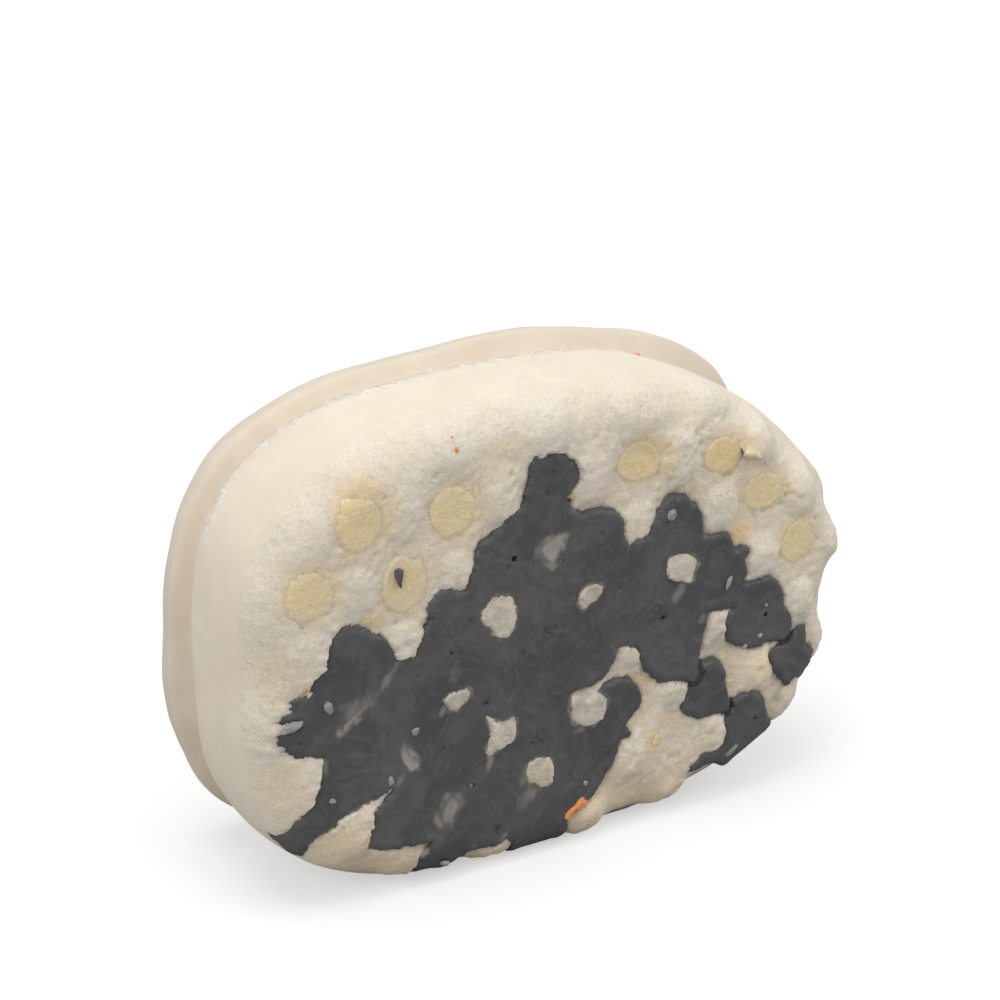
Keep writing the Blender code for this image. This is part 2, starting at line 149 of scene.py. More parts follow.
ISLAND_OUTLINES = (
    ((28.7, -12.8), (29.8, -13.6), (31.4, -14.3), (32.7, -13.9), (34.1, -14.8), (35.1, -16.0),
     (35.7, -17.7), (35.4, -19.5), (36.3, -22.5), (36.7, -24.1), (35.8, -25.3), (33.7, -24.6),
     (31.0, -25.0), (29.4, -24.8), (27.6, -23.8), (26.3, -22.9), (25.3, -21.6), (26.0, -20.3),
     (26.8, -19.2), (27.2, -17.4), (28.4, -15.8)),
    ((37.6, -23.7), (39.1, -23.0), (40.7, -22.9), (42.2, -22.6), (44.0, -23.7), (45.0, -25.3),
     (45.3, -26.8), (46.1, -28.4), (46.8, -30.2), (49.5, -32.5), (46.0, -38.0), (40.5, -41.0),
     (37.5, -38.6), (35.6, -36.2), (33.4, -35.6), (31.2, -35.3), (28.9, -36.3), (28.1, -35.4),
     (29.7, -34.2), (30.8, -32.9), (32.6, -33.3), (34.1, -32.7), (35.6, -31.0), (36.2, -29.2),
     (35.7, -27.2), (36.2, -25.8), (37.8, -24.9)),
    ((45.5, -16.1), (46.2, -15.3), (47.5, -14.5), (49.2, -14.3), (50.4, -13.8), (51.4, -12.7),
     (52.9, -11.7), (54.0, -11.4), (54.5, -13.3), (54.7, -15.6), (55.6, -17.9), (57.6, -16.6),
     (57.0, -20.0), (54.6, -22.6), (52.8, -22.3), (51.6, -22.3), (50.9, -23.6), (49.6, -21.5),
     (48.5, -20.4), (47.3, -19.2), (46.6, -17.9)),
)

# Nub tips that show through the charcoal soap: softness of the rim in millimetres, how bare
# the tip is, how sooty it is, and its outline
BARE_NUBS = (
    (0.3, 1.0, 0.35, ((-18.8, 6.5), (-18.5, 7.6), (-17.5, 8.5), (-16.5, 9.5), (-14.7, 9.6),
                      (-12.1, 9.2), (-11.4, 7.1), (-11.0, 5.3), (-11.4, 3.3), (-12.3, 1.9),
                      (-13.3, 1.1), (-14.7, 1.3), (-16.0, 2.2), (-16.5, 3.5), (-18.0, 4.8))),
    (0.6, 1.0, 0.60, ((1.7, 5.2), (2.2, 6.6), (3.7, 7.5), (5.8, 7.5), (7.5, 6.8), (7.0, 5.7),
                      (5.7, 4.5), (4.3, 3.8), (3.2, 2.9), (2.1, 3.7))),
    (0.3, 1.0, 0.35, ((21.3, 7.5), (21.5, 9.0), (23.5, 9.5), (25.7, 9.2), (27.6, 8.3),
                      (28.7, 6.9), (28.4, 5.8), (27.7, 4.8), (27.4, 3.1), (25.9, 3.4),
                      (24.2, 4.2), (22.7, 4.2), (21.5, 5.6))),
    (1.1, 0.44, 0.65, ((-6.4, 16.8), (-5.2, 18.2), (-2.9, 19.3), (-0.7, 19.0), (-0.7, 17.3),
                       (-1.8, 15.9), (-2.6, 14.0), (-3.5, 12.4), (-4.4, 13.4), (-5.8, 15.1))),
    (0.7, 1.0, 0.45, ((-26.5, -7.5), (-25.1, -6.7), (-23.4, -6.8), (-21.2, -6.5),
                      (-20.7, -7.8), (-21.5, -9.0), (-22.9, -9.5), (-23.6, -10.4),
                      (-25.2, -10.1), (-26.3, -8.6))),
    (0.3, 1.0, 0.35, ((-17.8, -13.2), (-17.1, -12.9), (-16.1, -13.8), (-15.1, -14.7),
                      (-13.3, -14.8), (-11.5, -14.4), (-11.0, -16.0), (-11.2, -17.6),
                      (-11.9, -18.9), (-13.7, -19.6), (-15.6, -20.3), (-16.7, -21.3),
                      (-17.7, -20.9), (-17.8, -19.2), (-17.0, -17.6), (-16.8, -15.5))),
    (0.6, 1.0, 0.45, ((-9.4, -26.5), (-9.0, -25.0), (-7.6, -24.0), (-5.4, -24.0),
                      (-3.8, -24.6), (-3.0, -26.2), (-3.0, -27.8), (-3.6, -30.1),
                      (-5.4, -30.4), (-7.2, -29.1), (-8.6, -28.1))),
    (0.6, 1.0, 0.38, ((0.3, -13.5), (2.1, -12.6), (5.0, -12.8), (6.9, -14.0), (8.8, -15.9),
                      (8.6, -17.1), (8.1, -18.7), (7.2, -19.8), (5.5, -20.4), (3.3, -20.2),
                      (1.5, -19.2), (0.7, -17.6), (0.4, -15.5))),
    (0.9, 0.42, 0.70, ((-47.7, -9.0), (-46.6, -7.5), (-44.6, -6.1), (-42.6, -5.0),
                       (-40.3, -4.0), (-41.7, -5.6), (-43.3, -7.0), (-45.2, -8.2),
                       (-46.7, -8.9))),
    (0.8, 0.44, 0.60, ((-35.3, -15.1), (-34.2, -13.9), (-33.6, -15.9), (-32.2, -17.2),
                       (-31.1, -18.5), (-31.4, -19.7), (-32.8, -20.1), (-34.3, -19.3),
                       (-35.1, -17.3))),
    (1.6, 0.40, 0.50, ((-28.1, -31.6), (-27.2, -28.7), (-26.0, -26.7), (-24.4, -26.3),
                       (-22.3, -28.1), (-23.0, -29.8), (-23.9, -31.5), (-25.3, -32.8))),
)

# Soft pale smears in the charcoal soap: place, long and short radius in millimetres, turn in
# degrees and strength
SMEARS = (
    (24.0, 1.6, 3.0, 1.5, 60, 0.50), (-16.9, -22.0, 2.4, 0.9, 75, 0.60),
    (-8.6, -31.0, 4.2, 2.0, 48, 0.45), (-9.6, -27.6, 2.2, 1.2, 80, 0.40),
    (-24.0, -3.0, 3.6, 1.9, 70, 0.30), (-26.6, -9.6, 1.6, 0.9, 60, 0.55),
    (-44.0, -5.6, 5.6, 2.4, 35, 0.45), (-46.0, -4.2, 2.6, 1.2, 10, 0.35),
    (-33.4, -17.0, 4.2, 2.2, 120, 0.35), (-35.6, -20.9, 2.2, 0.9, 45, 0.50),
    (-26.2, -29.5, 5.0, 2.6, 68, 0.32), (-37.4, -0.6, 5.2, 1.0, 52, 0.45),
    (-3.2, -6.4, 4.2, 1.8, 62, 0.16), (-6.4, 16.6, 2.4, 1.4, 60, 0.40),
    (-50.6, -14.4, 2.2, 1.0, 85, 0.50), (-43.6, -24.2, 4.0, 0.9, 18, 0.50),
    (-50.8, -27.4, 3.0, 0.8, 35, 0.40), (11.6, -6.6, 2.4, 1.0, 15, 0.40),
    (5.2, 0.9, 2.4, 1.6, 60, 0.14), (2.6, -20.8, 1.8, 0.9, 10, 0.45),
    (-14.2, -38.6, 2.6, 0.7, 60, 0.50), (-20.2, -38.4, 1.2, 0.7, 90, 0.35),
    (-30.4, -37.2, 1.4, 0.8, 60, 0.55), (29.6, -4.6, 1.4, 1.0, 60, 0.45),
    (1.0, 22.9, 1.8, 0.8, 10, 0.35), (30.0, 11.5, 1.6, 0.8, 30, 0.35),
)

# Holes left by bubbles in the charcoal soap: place and radius in millimetres
BUBBLE_HOLES = (
    (-11.6, 15.9, 0.75), (20.9, -2.6, 0.60), (44.6, -7.1, 0.55), (-20.4, -26.0, 0.65),
    (-24.7, 0.9, 0.34), (-17.5, -10.4, 0.36), (-1.7, 13.4, 0.50), (-4.4, 0.2, 0.22),
    (-7.9, -20.6, 0.22), (-55.3, -9.0, 0.28), (42.8, -28.1, 0.34), (-15.2, -35.9, 0.36),
)
# Rings left by bubbles that closed again
BUBBLE_RINGS = (
    (-4.8, 26.9, 0.36), (-22.8, 0.7, 0.34), (-9.9, -2.5, 0.36), (-3.0, 1.0, 0.34),
    (-3.2, -0.6, 0.30), (-2.0, -0.9, 0.26), (-1.1, 0.8, 0.34), (-5.2, 1.0, 0.28),
    (-6.8, -19.8, 0.34), (-7.1, -21.1, 0.26), (-5.9, -20.6, 0.28), (-12.9, 14.7, 0.32),
    (-3.6, 30.6, 0.30), (7.0, 17.0, 0.30), (-20.9, 6.4, 0.34), (8.8, -26.9, 0.30),
    (19.4, -0.6, 0.85), (-31.5, -1.8, 0.26), (10.8, 5.6, 0.26), (-26.6, -16.8, 0.26),
    (-17.5, -10.4, 0.62), (-15.2, -35.9, 0.62), (20.9, -2.6, 0.85),
)

# Nubs by lattice cell: how far each is sunk below its neighbours, in millimetres
NUB_SINKS = {
    (5, 1): 0.2, (3, 1): 0.6, (-1, 1): 0.3, (-2, -4): 0.5, (0, -4): 0.5, (-4, -2): 0.3,
}
# Clear soap by lattice cell: how far it lies below the nub tips, in millimetres
POOLS = (
    ((3, 2), 1.2), ((5, 2), 1.2), ((6, 1), 1.4), ((7, 0), 1.2), ((-3, 2), 0.5),
    ((-4, 1), 0.5), ((-1, 2), 0.8), ((-2, 1), 0.8), ((4, -3), 0.9),
)
# Foam soaked in clear soap: place, reach to the left, right, down and up in millimetres, and
# strength. The left side is the sharper one
YELLOW_PATCHES = (
    (14.9, 28.6, 4.8, 5.8, 3.4, 4.6, 0.90), (33.4, 26.8, 4.0, 5.6, 3.6, 3.6, 1.00),
    (42.6, 17.6, 3.6, 5.4, 3.4, 3.6, 0.85), (38.3, 10.2, 2.6, 2.2, 2.4, 2.4, 0.90),
    (50.7, 6.0, 3.6, 5.0, 3.8, 4.6, 0.85), (-43.6, 29.7, 3.8, 5.8, 6.0, 5.6, 0.85),
    (-24.9, 27.4, 4.2, 5.2, 4.8, 4.6, 0.80), (-53.2, 18.0, 4.4, 5.6, 4.8, 4.4, 0.75),
    (-35.0, 15.8, 4.0, 5.2, 5.4, 5.6, 0.70), (19.0, -27.0, 1.6, 1.8, 1.5, 1.6, 0.80),
    (23.1, -24.1, 2.6, 3.0, 2.0, 2.0, 0.45), (17.4, -13.8, 1.6, 1.8, 1.8, 1.8, 0.90),
    (-53.8, 0.2, 1.5, 1.5, 0.9, 0.9, 0.90), (-45.3, -22.8, 1.2, 1.2, 0.8, 0.8, 0.90),
    (-46.6, -30.4, 6.0, 6.0, 3.2, 3.2, 0.40), (-58.4, -17.0, 3.4, 3.4, 5.0, 5.0, 0.25),
    (24.0, -37.0, 7.0, 7.0, 2.4, 2.4, 0.35), (12.8, -37.4, 4.0, 4.0, 2.4, 2.4, 0.45),
    (44.0, -17.6, 4.0, 4.0, 4.0, 4.0, 0.30), (-14.7, 35.0, 4.6, 4.6, 3.0, 3.0, 0.25),
    (0.4, 24.4, 1.0, 1.0, 1.0, 1.0, 0.80), (-40.6, 10.6, 2.6, 2.6, 1.4, 1.4, 0.60),
    (26.2, 21.4, 3.4, 3.4, 1.4, 1.4, 0.50), (-59.6, 4.0, 3.0, 3.0, 4.0, 4.0, 0.25),
    (32.6, -15.0, 3.0, 3.0, 1.0, 1.0, 0.35), (-50.4, -28.2, 1.6, 1.6, 0.8, 0.8, 0.50),
)
# How far each side stands out from the plain outline, in millimetres, by the angle in degrees
# round the sponge from its right end
FRONT_SWELLS = (
    (-180, 0.0), (-58, 0.0), (-50, 1.0), (-38, 1.4), (-31, 1.8), (-22, 0.9), (-14, 0.4),
    (-8, 1.2), (-2, 1.9), (3, 2.3), (7, 2.2), (11, 1.7), (15, 1.3), (18, 1.5), (22, 1.8),
    (26, 1.4), (30, 0.4), (35, -0.7), (42, -1.2), (52, -0.6), (70, 0.0), (180, 0.0),
)
REAR_SWELLS = (
    (-180, -0.9), (-166, -0.2), (-155, -0.4), (-146, -1.1), (-136, -0.8), (-120, 0.0),
    (40, 0.9), (50, -0.3), (58, -1.2), (66, -0.8), (74, -0.2), (88, -0.5), (100, -1.3),
    (112, -1.5), (124, -1.0), (136, -1.0), (155, -1.5), (180, -0.9),
)

# Soot on bare foam, narrow gaps beside the charcoal soap that are painted dark as their shade, and
# traces of pink soap: place, long and short radius in millimetres, turn in degrees and strength
SOOT_SPOTS = (
    (33.6, -9.4, 3.0, 2.0, 60, 0.35), (24.0, -18.6, 3.0, 2.0, 10, 0.30),
    (32.6, -27.8, 1.8, 1.0, 20, 0.45), (49.0, -25.4, 1.2, 2.4, 0, 0.45),
    (53.0, -9.0, 2.4, 2.4, 0, 0.35), (13.0, -5.6, 2.6, 1.0, 15, 0.40),
    (-41.8, -33.0, 5.0, 1.2, 35, 0.55), (-30.0, -37.0, 9.0, 2.4, 0, 0.30),
    (18.0, -34.0, 12.0, 4.0, 15, 0.16), (28.0, -24.0, 7.0, 6.0, 0, 0.12),
)
SHADED_GAPS = (
    (28.3, 4.3, 1.9, 0.7, 82, 1.0), (0.4, 24.1, 0.9, 0.6, 30, 0.5),
    (-53.8, 0.1, 1.2, 0.5, 8, 0.4), (-24.8, -11.2, 1.0, 0.5, 60, 0.4),
)
BLUSH_SPOTS = ((7.9, 27.2, 3.6, 5.0, 0, 0.55), (33.2, -8.6, 2.6, 2.6, 0, 0.40))

# Pale crumbs of soap: piece, place on the face and depth below its front, half sizes in
# millimetres, turn in degrees, and the CAD node that the piece replaces
CRUMBS = (
    ("pale_crumb_1", (22.0, 17.6, 0.6), (0.95, 0.5, 0.95), 0, "soap_crumb_1"),
    ("pale_crumb_2", (-49.6, -3.4, 0.7), (0.85, 0.5, 1.25), 20, "soap_crumb_2"),
    ("pale_crumb_3", (3.8, -31.6, 0.6), (0.40, 0.4, 0.45), 0, "soap_crumb_3"),
    ("pale_crumb_4", (43.2, -11.0, 0.6), (0.60, 0.4, 0.35), 30, "soap_crumb_4"),
    ("pale_crumb_large", (-56.8, -5.4, 0.5), (2.1, 0.6, 0.9), 10, "soap_crumb_large"),
    ("pale_crumb_5", (35.4, 1.4, 0.6), (0.50, 0.4, 1.30), -30, None),
    ("pale_crumb_6", (-32.4, -12.2, 0.7), (0.80, 0.4, 0.60), 35, None),
    ("pale_crumb_7", (-37.4, -20.6, 0.7), (0.65, 0.5, 0.75), 0, None),
    ("pale_crumb_8", (-49.2, -21.4, 0.7), (0.70, 0.4, 0.45), 0, None),
    ("pale_crumb_9", (39.6, -12.4, 0.5), (0.55, 0.4, 0.30), 40, None),
    ("pale_crumb_10", (44.3, -5.0, 0.5), (0.35, 0.3, 0.35), 0, None),
    ("pale_flake", (37.8, -33.6, 1.0), (1.6, 0.3, 0.60), 35, None),
    ("pale_crumb_11", (-58.6, -9.2, 0.8), (0.55, 0.4, 0.35), 0, None),
    ("pale_crumb_12", (-26.0, -40.2, 1.4), (1.1, 0.5, 0.50), -12, None),
)
# Orange specks on the foam: place and depth, half sizes in millimetres, and the lumps' seed
ORANGE_SPECKS = (
    ((-23.6, 38.6, 0.55), (0.34, 0.3, 0.45), 2.1),
    ((-24.2, 40.9, 1.1), (0.24, 0.2, 0.24), 4.1),
    ((36.0, 37.3, 32.0), (0.35, 0.5, 0.35), 6.3),
)

# Stage: disc lamps with their place, size in metres and power in watts. The floor's greys for
# bounced light and for the camera, and its glow: near and far distance, glow at each. The world's
# light, and what is added to it where the camera sees it. The camera stands where the photograph
# was taken from
LAMP_AIM = (0.0, 0.0, 0.04)
LAMPS = (
    ("top_softbox", (-0.4, 0.0, 2.4), 1.6, 24.0),
    ("left_fill", (-1.7, -0.9, 1.2), 1.4, 13.0),
    ("right_fill", (1.6, -1.0, 1.3), 1.4, 13.0),
)
FLOOR_GREY = 0.38
FLOOR_GREY_SEEN = 0.55
FLOOR_GLOW = (0.10, 0.60, 0.50, 0.85)
WORLD_LIGHT = 0.45
WORLD_LIGHT_SEEN = 0.55
CAMERA_PLACE = (-0.2563, FOAM_LOW.y - 0.3831, 0.2395)
CAMERA_TURN = (math.radians(90 - 20.32), 0.0, math.radians(-32.18))
CAMERA_LENS = 100.18


def length(name, text, default):
    """A length that a user can change."""
    return bpy.props.FloatProperty(name=name, description=text, default=default, min=0.0,
                                   precision=5, unit="LENGTH", subtype="DISTANCE")


def colour(name, text, default):
    """A colour that a user can change."""
    return bpy.props.FloatVectorProperty(name=name, description=text, default=default, size=3,
                                         min=0.0, max=1.0, subtype="COLOR")


class SpongeSizes(bpy.types.PropertyGroup):
    """Sizes of the sponge's skins."""

    half_length: length("Half length", "Middle to end at the rim",
                        (FOAM_HIGH.x - FOAM_LOW.x) / 2 - 0.7 * MM)
    half_height: length("Half height", "Middle to top at the rim", 44.7 * MM)
    foot_cut: length("Foot cut", "How much the floor flattens the foot", 0.8 * MM)
    front_round: length("Front rounding", "Radius of the face's rim", 8 * MM)
    rear_round: length("Rear rounding", "Radius of the back's rim", 10 * MM)
    front_lobe: length("Front lobe", "Depth of the lobe before the groove", 25 * MM)
    grip_width: length("Groove width", "Width of the finger groove", 10 * MM)
    grip_inset: length("Groove depth", "How deep the finger groove goes in", 5 * MM)
    side_crown: length("Side crown", "How far the front lobe's side swells", 0.6 * MM)
    rear_rise: length("Rear rise", "How much taller the rear lobe is", 0.5 * MM)
    rear_spread: length("Rear spread", "How much wider the rear lobe is", 0.7 * MM)
    nub_height: length("Nub height", "Pocket floor to nub tip", 6 * MM)
    pocket_fill: length("Pocket depth", "How deep the filled pockets still look", 2.6 * MM)
    column_pitch: length("Column pitch", "Nub column to pocket column", 9.61 * MM)
    row_pitch: length("Row pitch", "Nub row to pocket row", 11.38 * MM)
    lattice_left: length("Lattice left", "First nub left of the middle", 14.43 * MM)
    lattice_above: length("Lattice above", "First nub above the middle", 4.92 * MM)
    film_sink: length("Film level", "Charcoal soap below the nub tips", 0.8 * MM)
    film_lip: length("Film lip", "Width of the charcoal soap's rounded edge", 0.9 * MM)
    tear: length("Torn edge", "How ragged the charcoal soap's edge is", 0.8 * MM)
    lump: length("Lumps", "Height of the foam's soft lumps", 0.4 * MM)
    crumble: length("Crumble", "Height of the face's broken pores", 0.22 * MM)


class SpongeColours(bpy.types.PropertyGroup):
    """Colours of the sponge's materials."""

    foam: colour("Foam", "Clean foam on the sides", (0.84, 0.74, 0.60))
    face: colour("Face foam", "Clean foam on the nubbed face", (0.84, 0.77, 0.65))
    # This colour also paints warm shade in the pockets and darker shade low on the face
    stain: colour("Stain", "Foam soaked in clear soap", (0.94, 0.695, 0.375))
    blush: colour("Blush", "Foam with a trace of pink soap", (0.84, 0.68, 0.60))
    # This colour also paints shadow beside the charcoal soap's edges and in narrow gaps
    soot: colour("Soot", "Foam smeared with charcoal soap", (0.27, 0.245, 0.215))
    core: colour("Cream soap", "Soap block in the back", (0.80, 0.70, 0.55))
    charcoal: colour("Charcoal soap", "Black soap on the face", (0.076, 0.076, 0.079))
    smoke: colour("Smoke", "Paler swirls in the charcoal soap", (0.122, 0.120, 0.118))
    smear: colour("Smear", "Charcoal soap where it is thin", (0.44, 0.40, 0.355))
    pool: colour("Clear soap", "Yellow soap in the pockets", (0.98, 0.72, 0.375))
    crumb: colour("Crumbs", "Pale soap crumbs", (0.31, 0.31, 0.30))
    fleck: colour("Flecks", "Orange soap flecks", (0.92, 0.25, 0.05))


def smooth(low, high, values):
    """Rise smoothly from 0 at low to 1 at high."""
    share = np.clip((values - low) / (high - low), 0.0, 1.0)
    return share * share * (3 - 2 * share)


def lumps(points, size, seed):
    """Signed noise at each point, with lumps of the given size."""
    moved = points / size + seed
    return np.array([noise.noise(place) for place in moved.tolist()])


def pits(points, size, seed):
    """Distance from each point to the nearest of many scattered places, in units of size."""
    moved = points / size + seed
    return np.array([noise.voronoi(place)[0][0] for place in moved.tolist()])


def outline(u, v, half_length, half_height, rise=0.0, rear=0.0):
    """Place points of the unit square inside the rounded outline, from front to rear shape."""
    corner = np.where(v >= 0, np.where(u >= 0, 0, 1), np.where(u >= 0, 3, 2))
    power = np.array(FRONT_POWERS)[corner] * (1 - rear) + np.array(REAR_POWERS)[corner] * rear
    tall = np.where(v >= 0, half_height + rise, half_height)
    x = half_length * u * (1 - np.abs(v) ** power / 2) ** (1 / power)
    z = tall * v * (1 - np.abs(u) ** power / 2) ** (1 / power)
    return x, z


def side_rows(s):
    """Half length, half height, depth, nub share and rear share of each ring, face to back."""
    def row(inset, depth, nubs=0.0, rear=0.0):
        return (s.half_length - inset, s.half_height - inset, depth, nubs, rear)

    rows = [row(s.front_round, 0.0, 1.0)]
    for turn in np.linspace(0, math.pi / 2, ROUND_RINGS + 1)[1:]:
        rows.append(row(s.front_round * (1 - math.sin(turn)),
                        s.front_round * (1 - math.cos(turn)), max(math.cos(turn), 0.0) ** 0.5))
    for share in np.linspace(0, 1, LOBE_RINGS + 1)[1:]:
        crown = -s.side_crown * math.sin(math.pi * share)
        rows.append(row(crown, s.front_round + (s.front_lobe - s.front_round) * share))
    for share in np.linspace(0, 1, GRIP_RINGS + 1)[1:]:
        inset = s.grip_inset * max(math.sin(math.pi * share), 0.0) ** 1.5
        rows.append(row(inset - s.rear_spread * share, s.front_lobe + s.grip_width * share,
                        0.0, share))
    depth = FOAM_HIGH.y - FOAM_LOW.y
    rear_start = s.front_lobe + s.grip_width
    for turn in np.linspace(math.pi / 2, 0, ROUND_RINGS + 3):
        rows.append(row(s.rear_round * (1 - math.sin(turn)) - s.rear_spread,
                        max(rear_start + 0.1 * MM, depth - s.rear_round * (1 - math.cos(turn))),
                        0.0, 1.0))
    last = rows[-1]
    mouth = ((CORE_HIGH.x - CORE_LOW.x) / 2, (CORE_HIGH.z - CORE_LOW.z) / 2)
    for share in np.linspace(0, 1, BACK_RINGS + 1)[1:]:
        rows.append((last[0] + (mouth[0] - last[0]) * share,
                     last[1] + (mouth[1] - last[1]) * share, depth, 0.0, 1.0))
    rows.append((mouth[0], mouth[1], CORE_LOW.y - FOAM_LOW.y, 0.0, 1.0))
    return np.array(rows)


def unit_sheet(grid, rings, filled=False):
    """A flat sheet in unit space, with its border run down the side ring by ring."""
    bm = bmesh.new()
    bmesh.ops.create_grid(bm, x_segments=grid[0], y_segments=grid[1], size=1.0)
    edges = [e for e in bm.edges if e.is_boundary]
    for number in range(1, rings + 1):
        made = bmesh.ops.extrude_edge_only(bm, edges=edges)["geom"]
        for item in made:
            if isinstance(item, bmesh.types.BMVert):
                item.co.z = number
        edges = [e for e in made if isinstance(e, bmesh.types.BMEdge) and e.is_boundary]
    if filled:
        bmesh.ops.edgeloop_fill(bm, edges=[e for e in bm.edges if e.is_boundary])
    return bm


def read_places(bm):
    """The places of a bmesh's points, one row each."""
    return np.array([v.co[:] for v in bm.verts])


def move_to(bm, places):
    """Move each point of a bmesh to its row."""
    for vert, place in zip(bm.verts, places.tolist()):
        vert.co = place


def smooth_places(unit, s):
    """Where points of the unit sheet lie on the smooth shape, with the row of each."""
    sides = side_rows(s)
    steps = np.arange(len(sides))
    rows = np.stack([np.interp(unit[:, 2], steps, column) for column in sides.T], axis=1)
    x, z = outline(unit[:, 0], unit[:, 1], rows[:, 0], rows[:, 1], s.rear_rise * rows[:, 4],
                   rows[:, 4])
    angle = np.degrees(np.arctan2(unit[:, 1], unit[:, 0]))
    front, rear = (np.interp(angle, *zip(*swells)) for swells in (FRONT_SWELLS, REAR_SWELLS))
    swell = (front * (1 - rows[:, 4]) + rear * rows[:, 4]) * MM
    swell *= np.max(np.abs(unit[:, :2]), axis=1) ** 6
    swell *= np.clip((len(steps) - 2 - unit[:, 2]) / BACK_RINGS, 0.0, 1.0)
    out_x, out_z = x * np.abs(x) / s.half_length ** 3, z * np.abs(z) / s.half_height ** 3
    reach = np.maximum(np.hypot(out_x, out_z), 1e-6)
    x, z = x + swell * out_x / reach, z + swell * out_z / reach
    middle = s.half_height - s.foot_cut
    places = np.stack([x, FOAM_LOW.y + rows[:, 2], np.maximum(z + middle, 0.0)], axis=1)
    return places, rows


def bend(bm, s):
    """Bend a unit sheet to the sponge's smooth shape. Return unit coordinates and ring rows."""
    unit = read_places(bm)
    places, rows = smooth_places(unit, s)
    move_to(bm, places)
    bm.normal_update()
    return unit, rows


def refine(bm, s, chosen):
    """Halve the squares of a unit sheet at the places that chosen picks."""
    bm.verts.index_update()
    places, rows = smooth_places(read_places(bm), s)
    near = chosen(*face_places(places, s)) & (rows[:, 2] < FACE_DEPTH)
    edges = [e for e in bm.edges if near[e.verts[0].index] and near[e.verts[1].index]]
    bmesh.ops.subdivide_edges(bm, edges=edges, cuts=1, use_grid_fill=True)


def face_places(places, s):
    """Across and up on the face, from the middle of the sponge."""
    return places[:, 0], places[:, 2] - (s.half_height - s.foot_cut)


def nub_share(x, z, s):
    """0 at a nub tip, 1 at the middle of a pocket, with flattened tips and floors."""
    across = np.cos(math.pi * (x + s.lattice_left) / s.column_pitch)
    upwards = np.cos(math.pi * (z - s.lattice_above) / s.row_pitch)
    return smooth(0.0, 1.0, (1 - across * upwards) / 2)


def from_cell(x, z, cell, s):
    """How far each place is across and up from the middle of a lattice cell."""
    return (x - (cell[0] * s.column_pitch - s.lattice_left),
            z - (cell[1] * s.row_pitch + s.lattice_above))


def cells_away(x, z, cell, s):
    """Distance from a lattice cell, in cells."""
    across, upwards = from_cell(x, z, cell, s)
    return np.hypot(across / s.column_pitch, upwards / s.row_pitch)


def nub_depth(places, unit, rows, s):
    """How far the foam lies inside the smooth shape, before soap and crumble."""
    x, z = face_places(places, s)
    warp = np.stack([lumps(places, 9 * MM, 3.1), lumps(places, 9 * MM, 8.7)], axis=1)
    dip = nub_share(x + 0.9 * MM * warp[:, 0], z + 0.9 * MM * warp[:, 1], s) * s.nub_height
    left = smooth(-0.96, -0.50, unit[:, 0])
    top = np.maximum(smooth(0.95, 0.55, unit[:, 1]), 0.8 * smooth(0.45, 0.75, unit[:, 0]))
    depth = dip * rows[:, 3] * (0.25 + 0.75 * left * top)
    depth = s.pocket_fill * (1 - np.exp(-depth / s.pocket_fill))
    for cell, sink in POOLS:
        near = smooth(1.0, 0.6, cells_away(x, z, cell, s))
        depth -= near * np.maximum(depth - (sink + 0.12) * MM, 0.0)
    for cell, sink in NUB_SINKS.items():
        across, upwards = from_cell(x, z, cell, s)
        near = np.exp(-(across ** 2 + upwards ** 2) / (4.2 * MM) ** 2)
        depth += sink * MM * near * rows[:, 3]
    return depth + s.lump * lumps(places, 13 * MM, 1.7)


def yellow_share(x, z):
    """How much clear soap has soaked into the face at each place."""
    found = np.zeros(len(x))
    for px, pz, left, right, down, up, strength in YELLOW_PATCHES:
        dx, dz = x / MM - px, z / MM - pz
        away = np.hypot(dx / np.where(dx < 0, left, right), dz / np.where(dz < 0, down, up))
        soft = 0.48 + 0.40 * smooth(-0.6 * left, 0.6 * right, dx)
        found = np.maximum(found, strength * smooth(1.05 + soft, 0.9 - soft / 2, away))
    return found


def turned(x, z, degrees):
    """Places turned round the origin, anticlockwise as seen on the face."""
    cosine, sine = math.cos(math.radians(degrees)), math.sin(math.radians(degrees))
    return x * cosine - z * sine, x * sine + z * cosine


def nearby(x, z, spots):
    """Strongest of many soft oval spots: place, two radii, turn and strength each."""
    found = np.zeros(len(x))
    for px, pz, long, short, turn, strength in spots:
        along, across = turned(x / MM - px, z / MM - pz, -turn)
        away = (along / long) ** 2 + (across / short) ** 2
        found = np.maximum(found, strength * np.exp(-away ** 1.5))
    return found


def polygon_distance(x, z, points):
    """Distance inside a closed outline: positive inside it, negative outside."""
    corners = np.array(points)
    nearest = np.full(len(x), 1e9)
    inside = np.zeros(len(x), bool)
    for (ax, az), (bx, bz) in zip(corners, np.roll(corners, -1, axis=0)):
        dx, dz = bx - ax, bz - az
        along = np.clip(((x - ax) * dx + (z - az) * dz) / (dx * dx + dz * dz), 0.0, 1.0)
        nearest = np.minimum(nearest, np.hypot(x - ax - along * dx, z - az - along * dz))
        if dz != 0.0:
            crossing = (az > z) != (bz > z)
            inside ^= crossing & (x < ax + dx * (z - az) / dz)
    return np.where(inside, nearest, -nearest)


def cut_corners(points):
    """A closed outline with each corner cut off, which rounds it."""
    cut = []
    for (ax, az), (bx, bz) in zip(points, points[1:] + points[:1]):
        cut.append((0.75 * ax + 0.25 * bx, 0.75 * az + 0.25 * bz))
        cut.append((0.25 * ax + 0.75 * bx, 0.25 * az + 0.75 * bz))
    return cut


def outline_distance(x, z, points):
    """Distance inside a rounded outline that is given in millimetres, OUTSIDE at the least."""
    shape = np.array(cut_corners(points)) * MM
    low, high = shape.min(axis=0) + OUTSIDE, shape.max(axis=0) - OUTSIDE
    near = (x > low[0]) & (x < high[0]) & (z > low[1]) & (z < high[1])
    distance = np.full(len(x), OUTSIDE)
    distance[near] = np.maximum(polygon_distance(x[near], z[near], shape), OUTSIDE)
    return distance


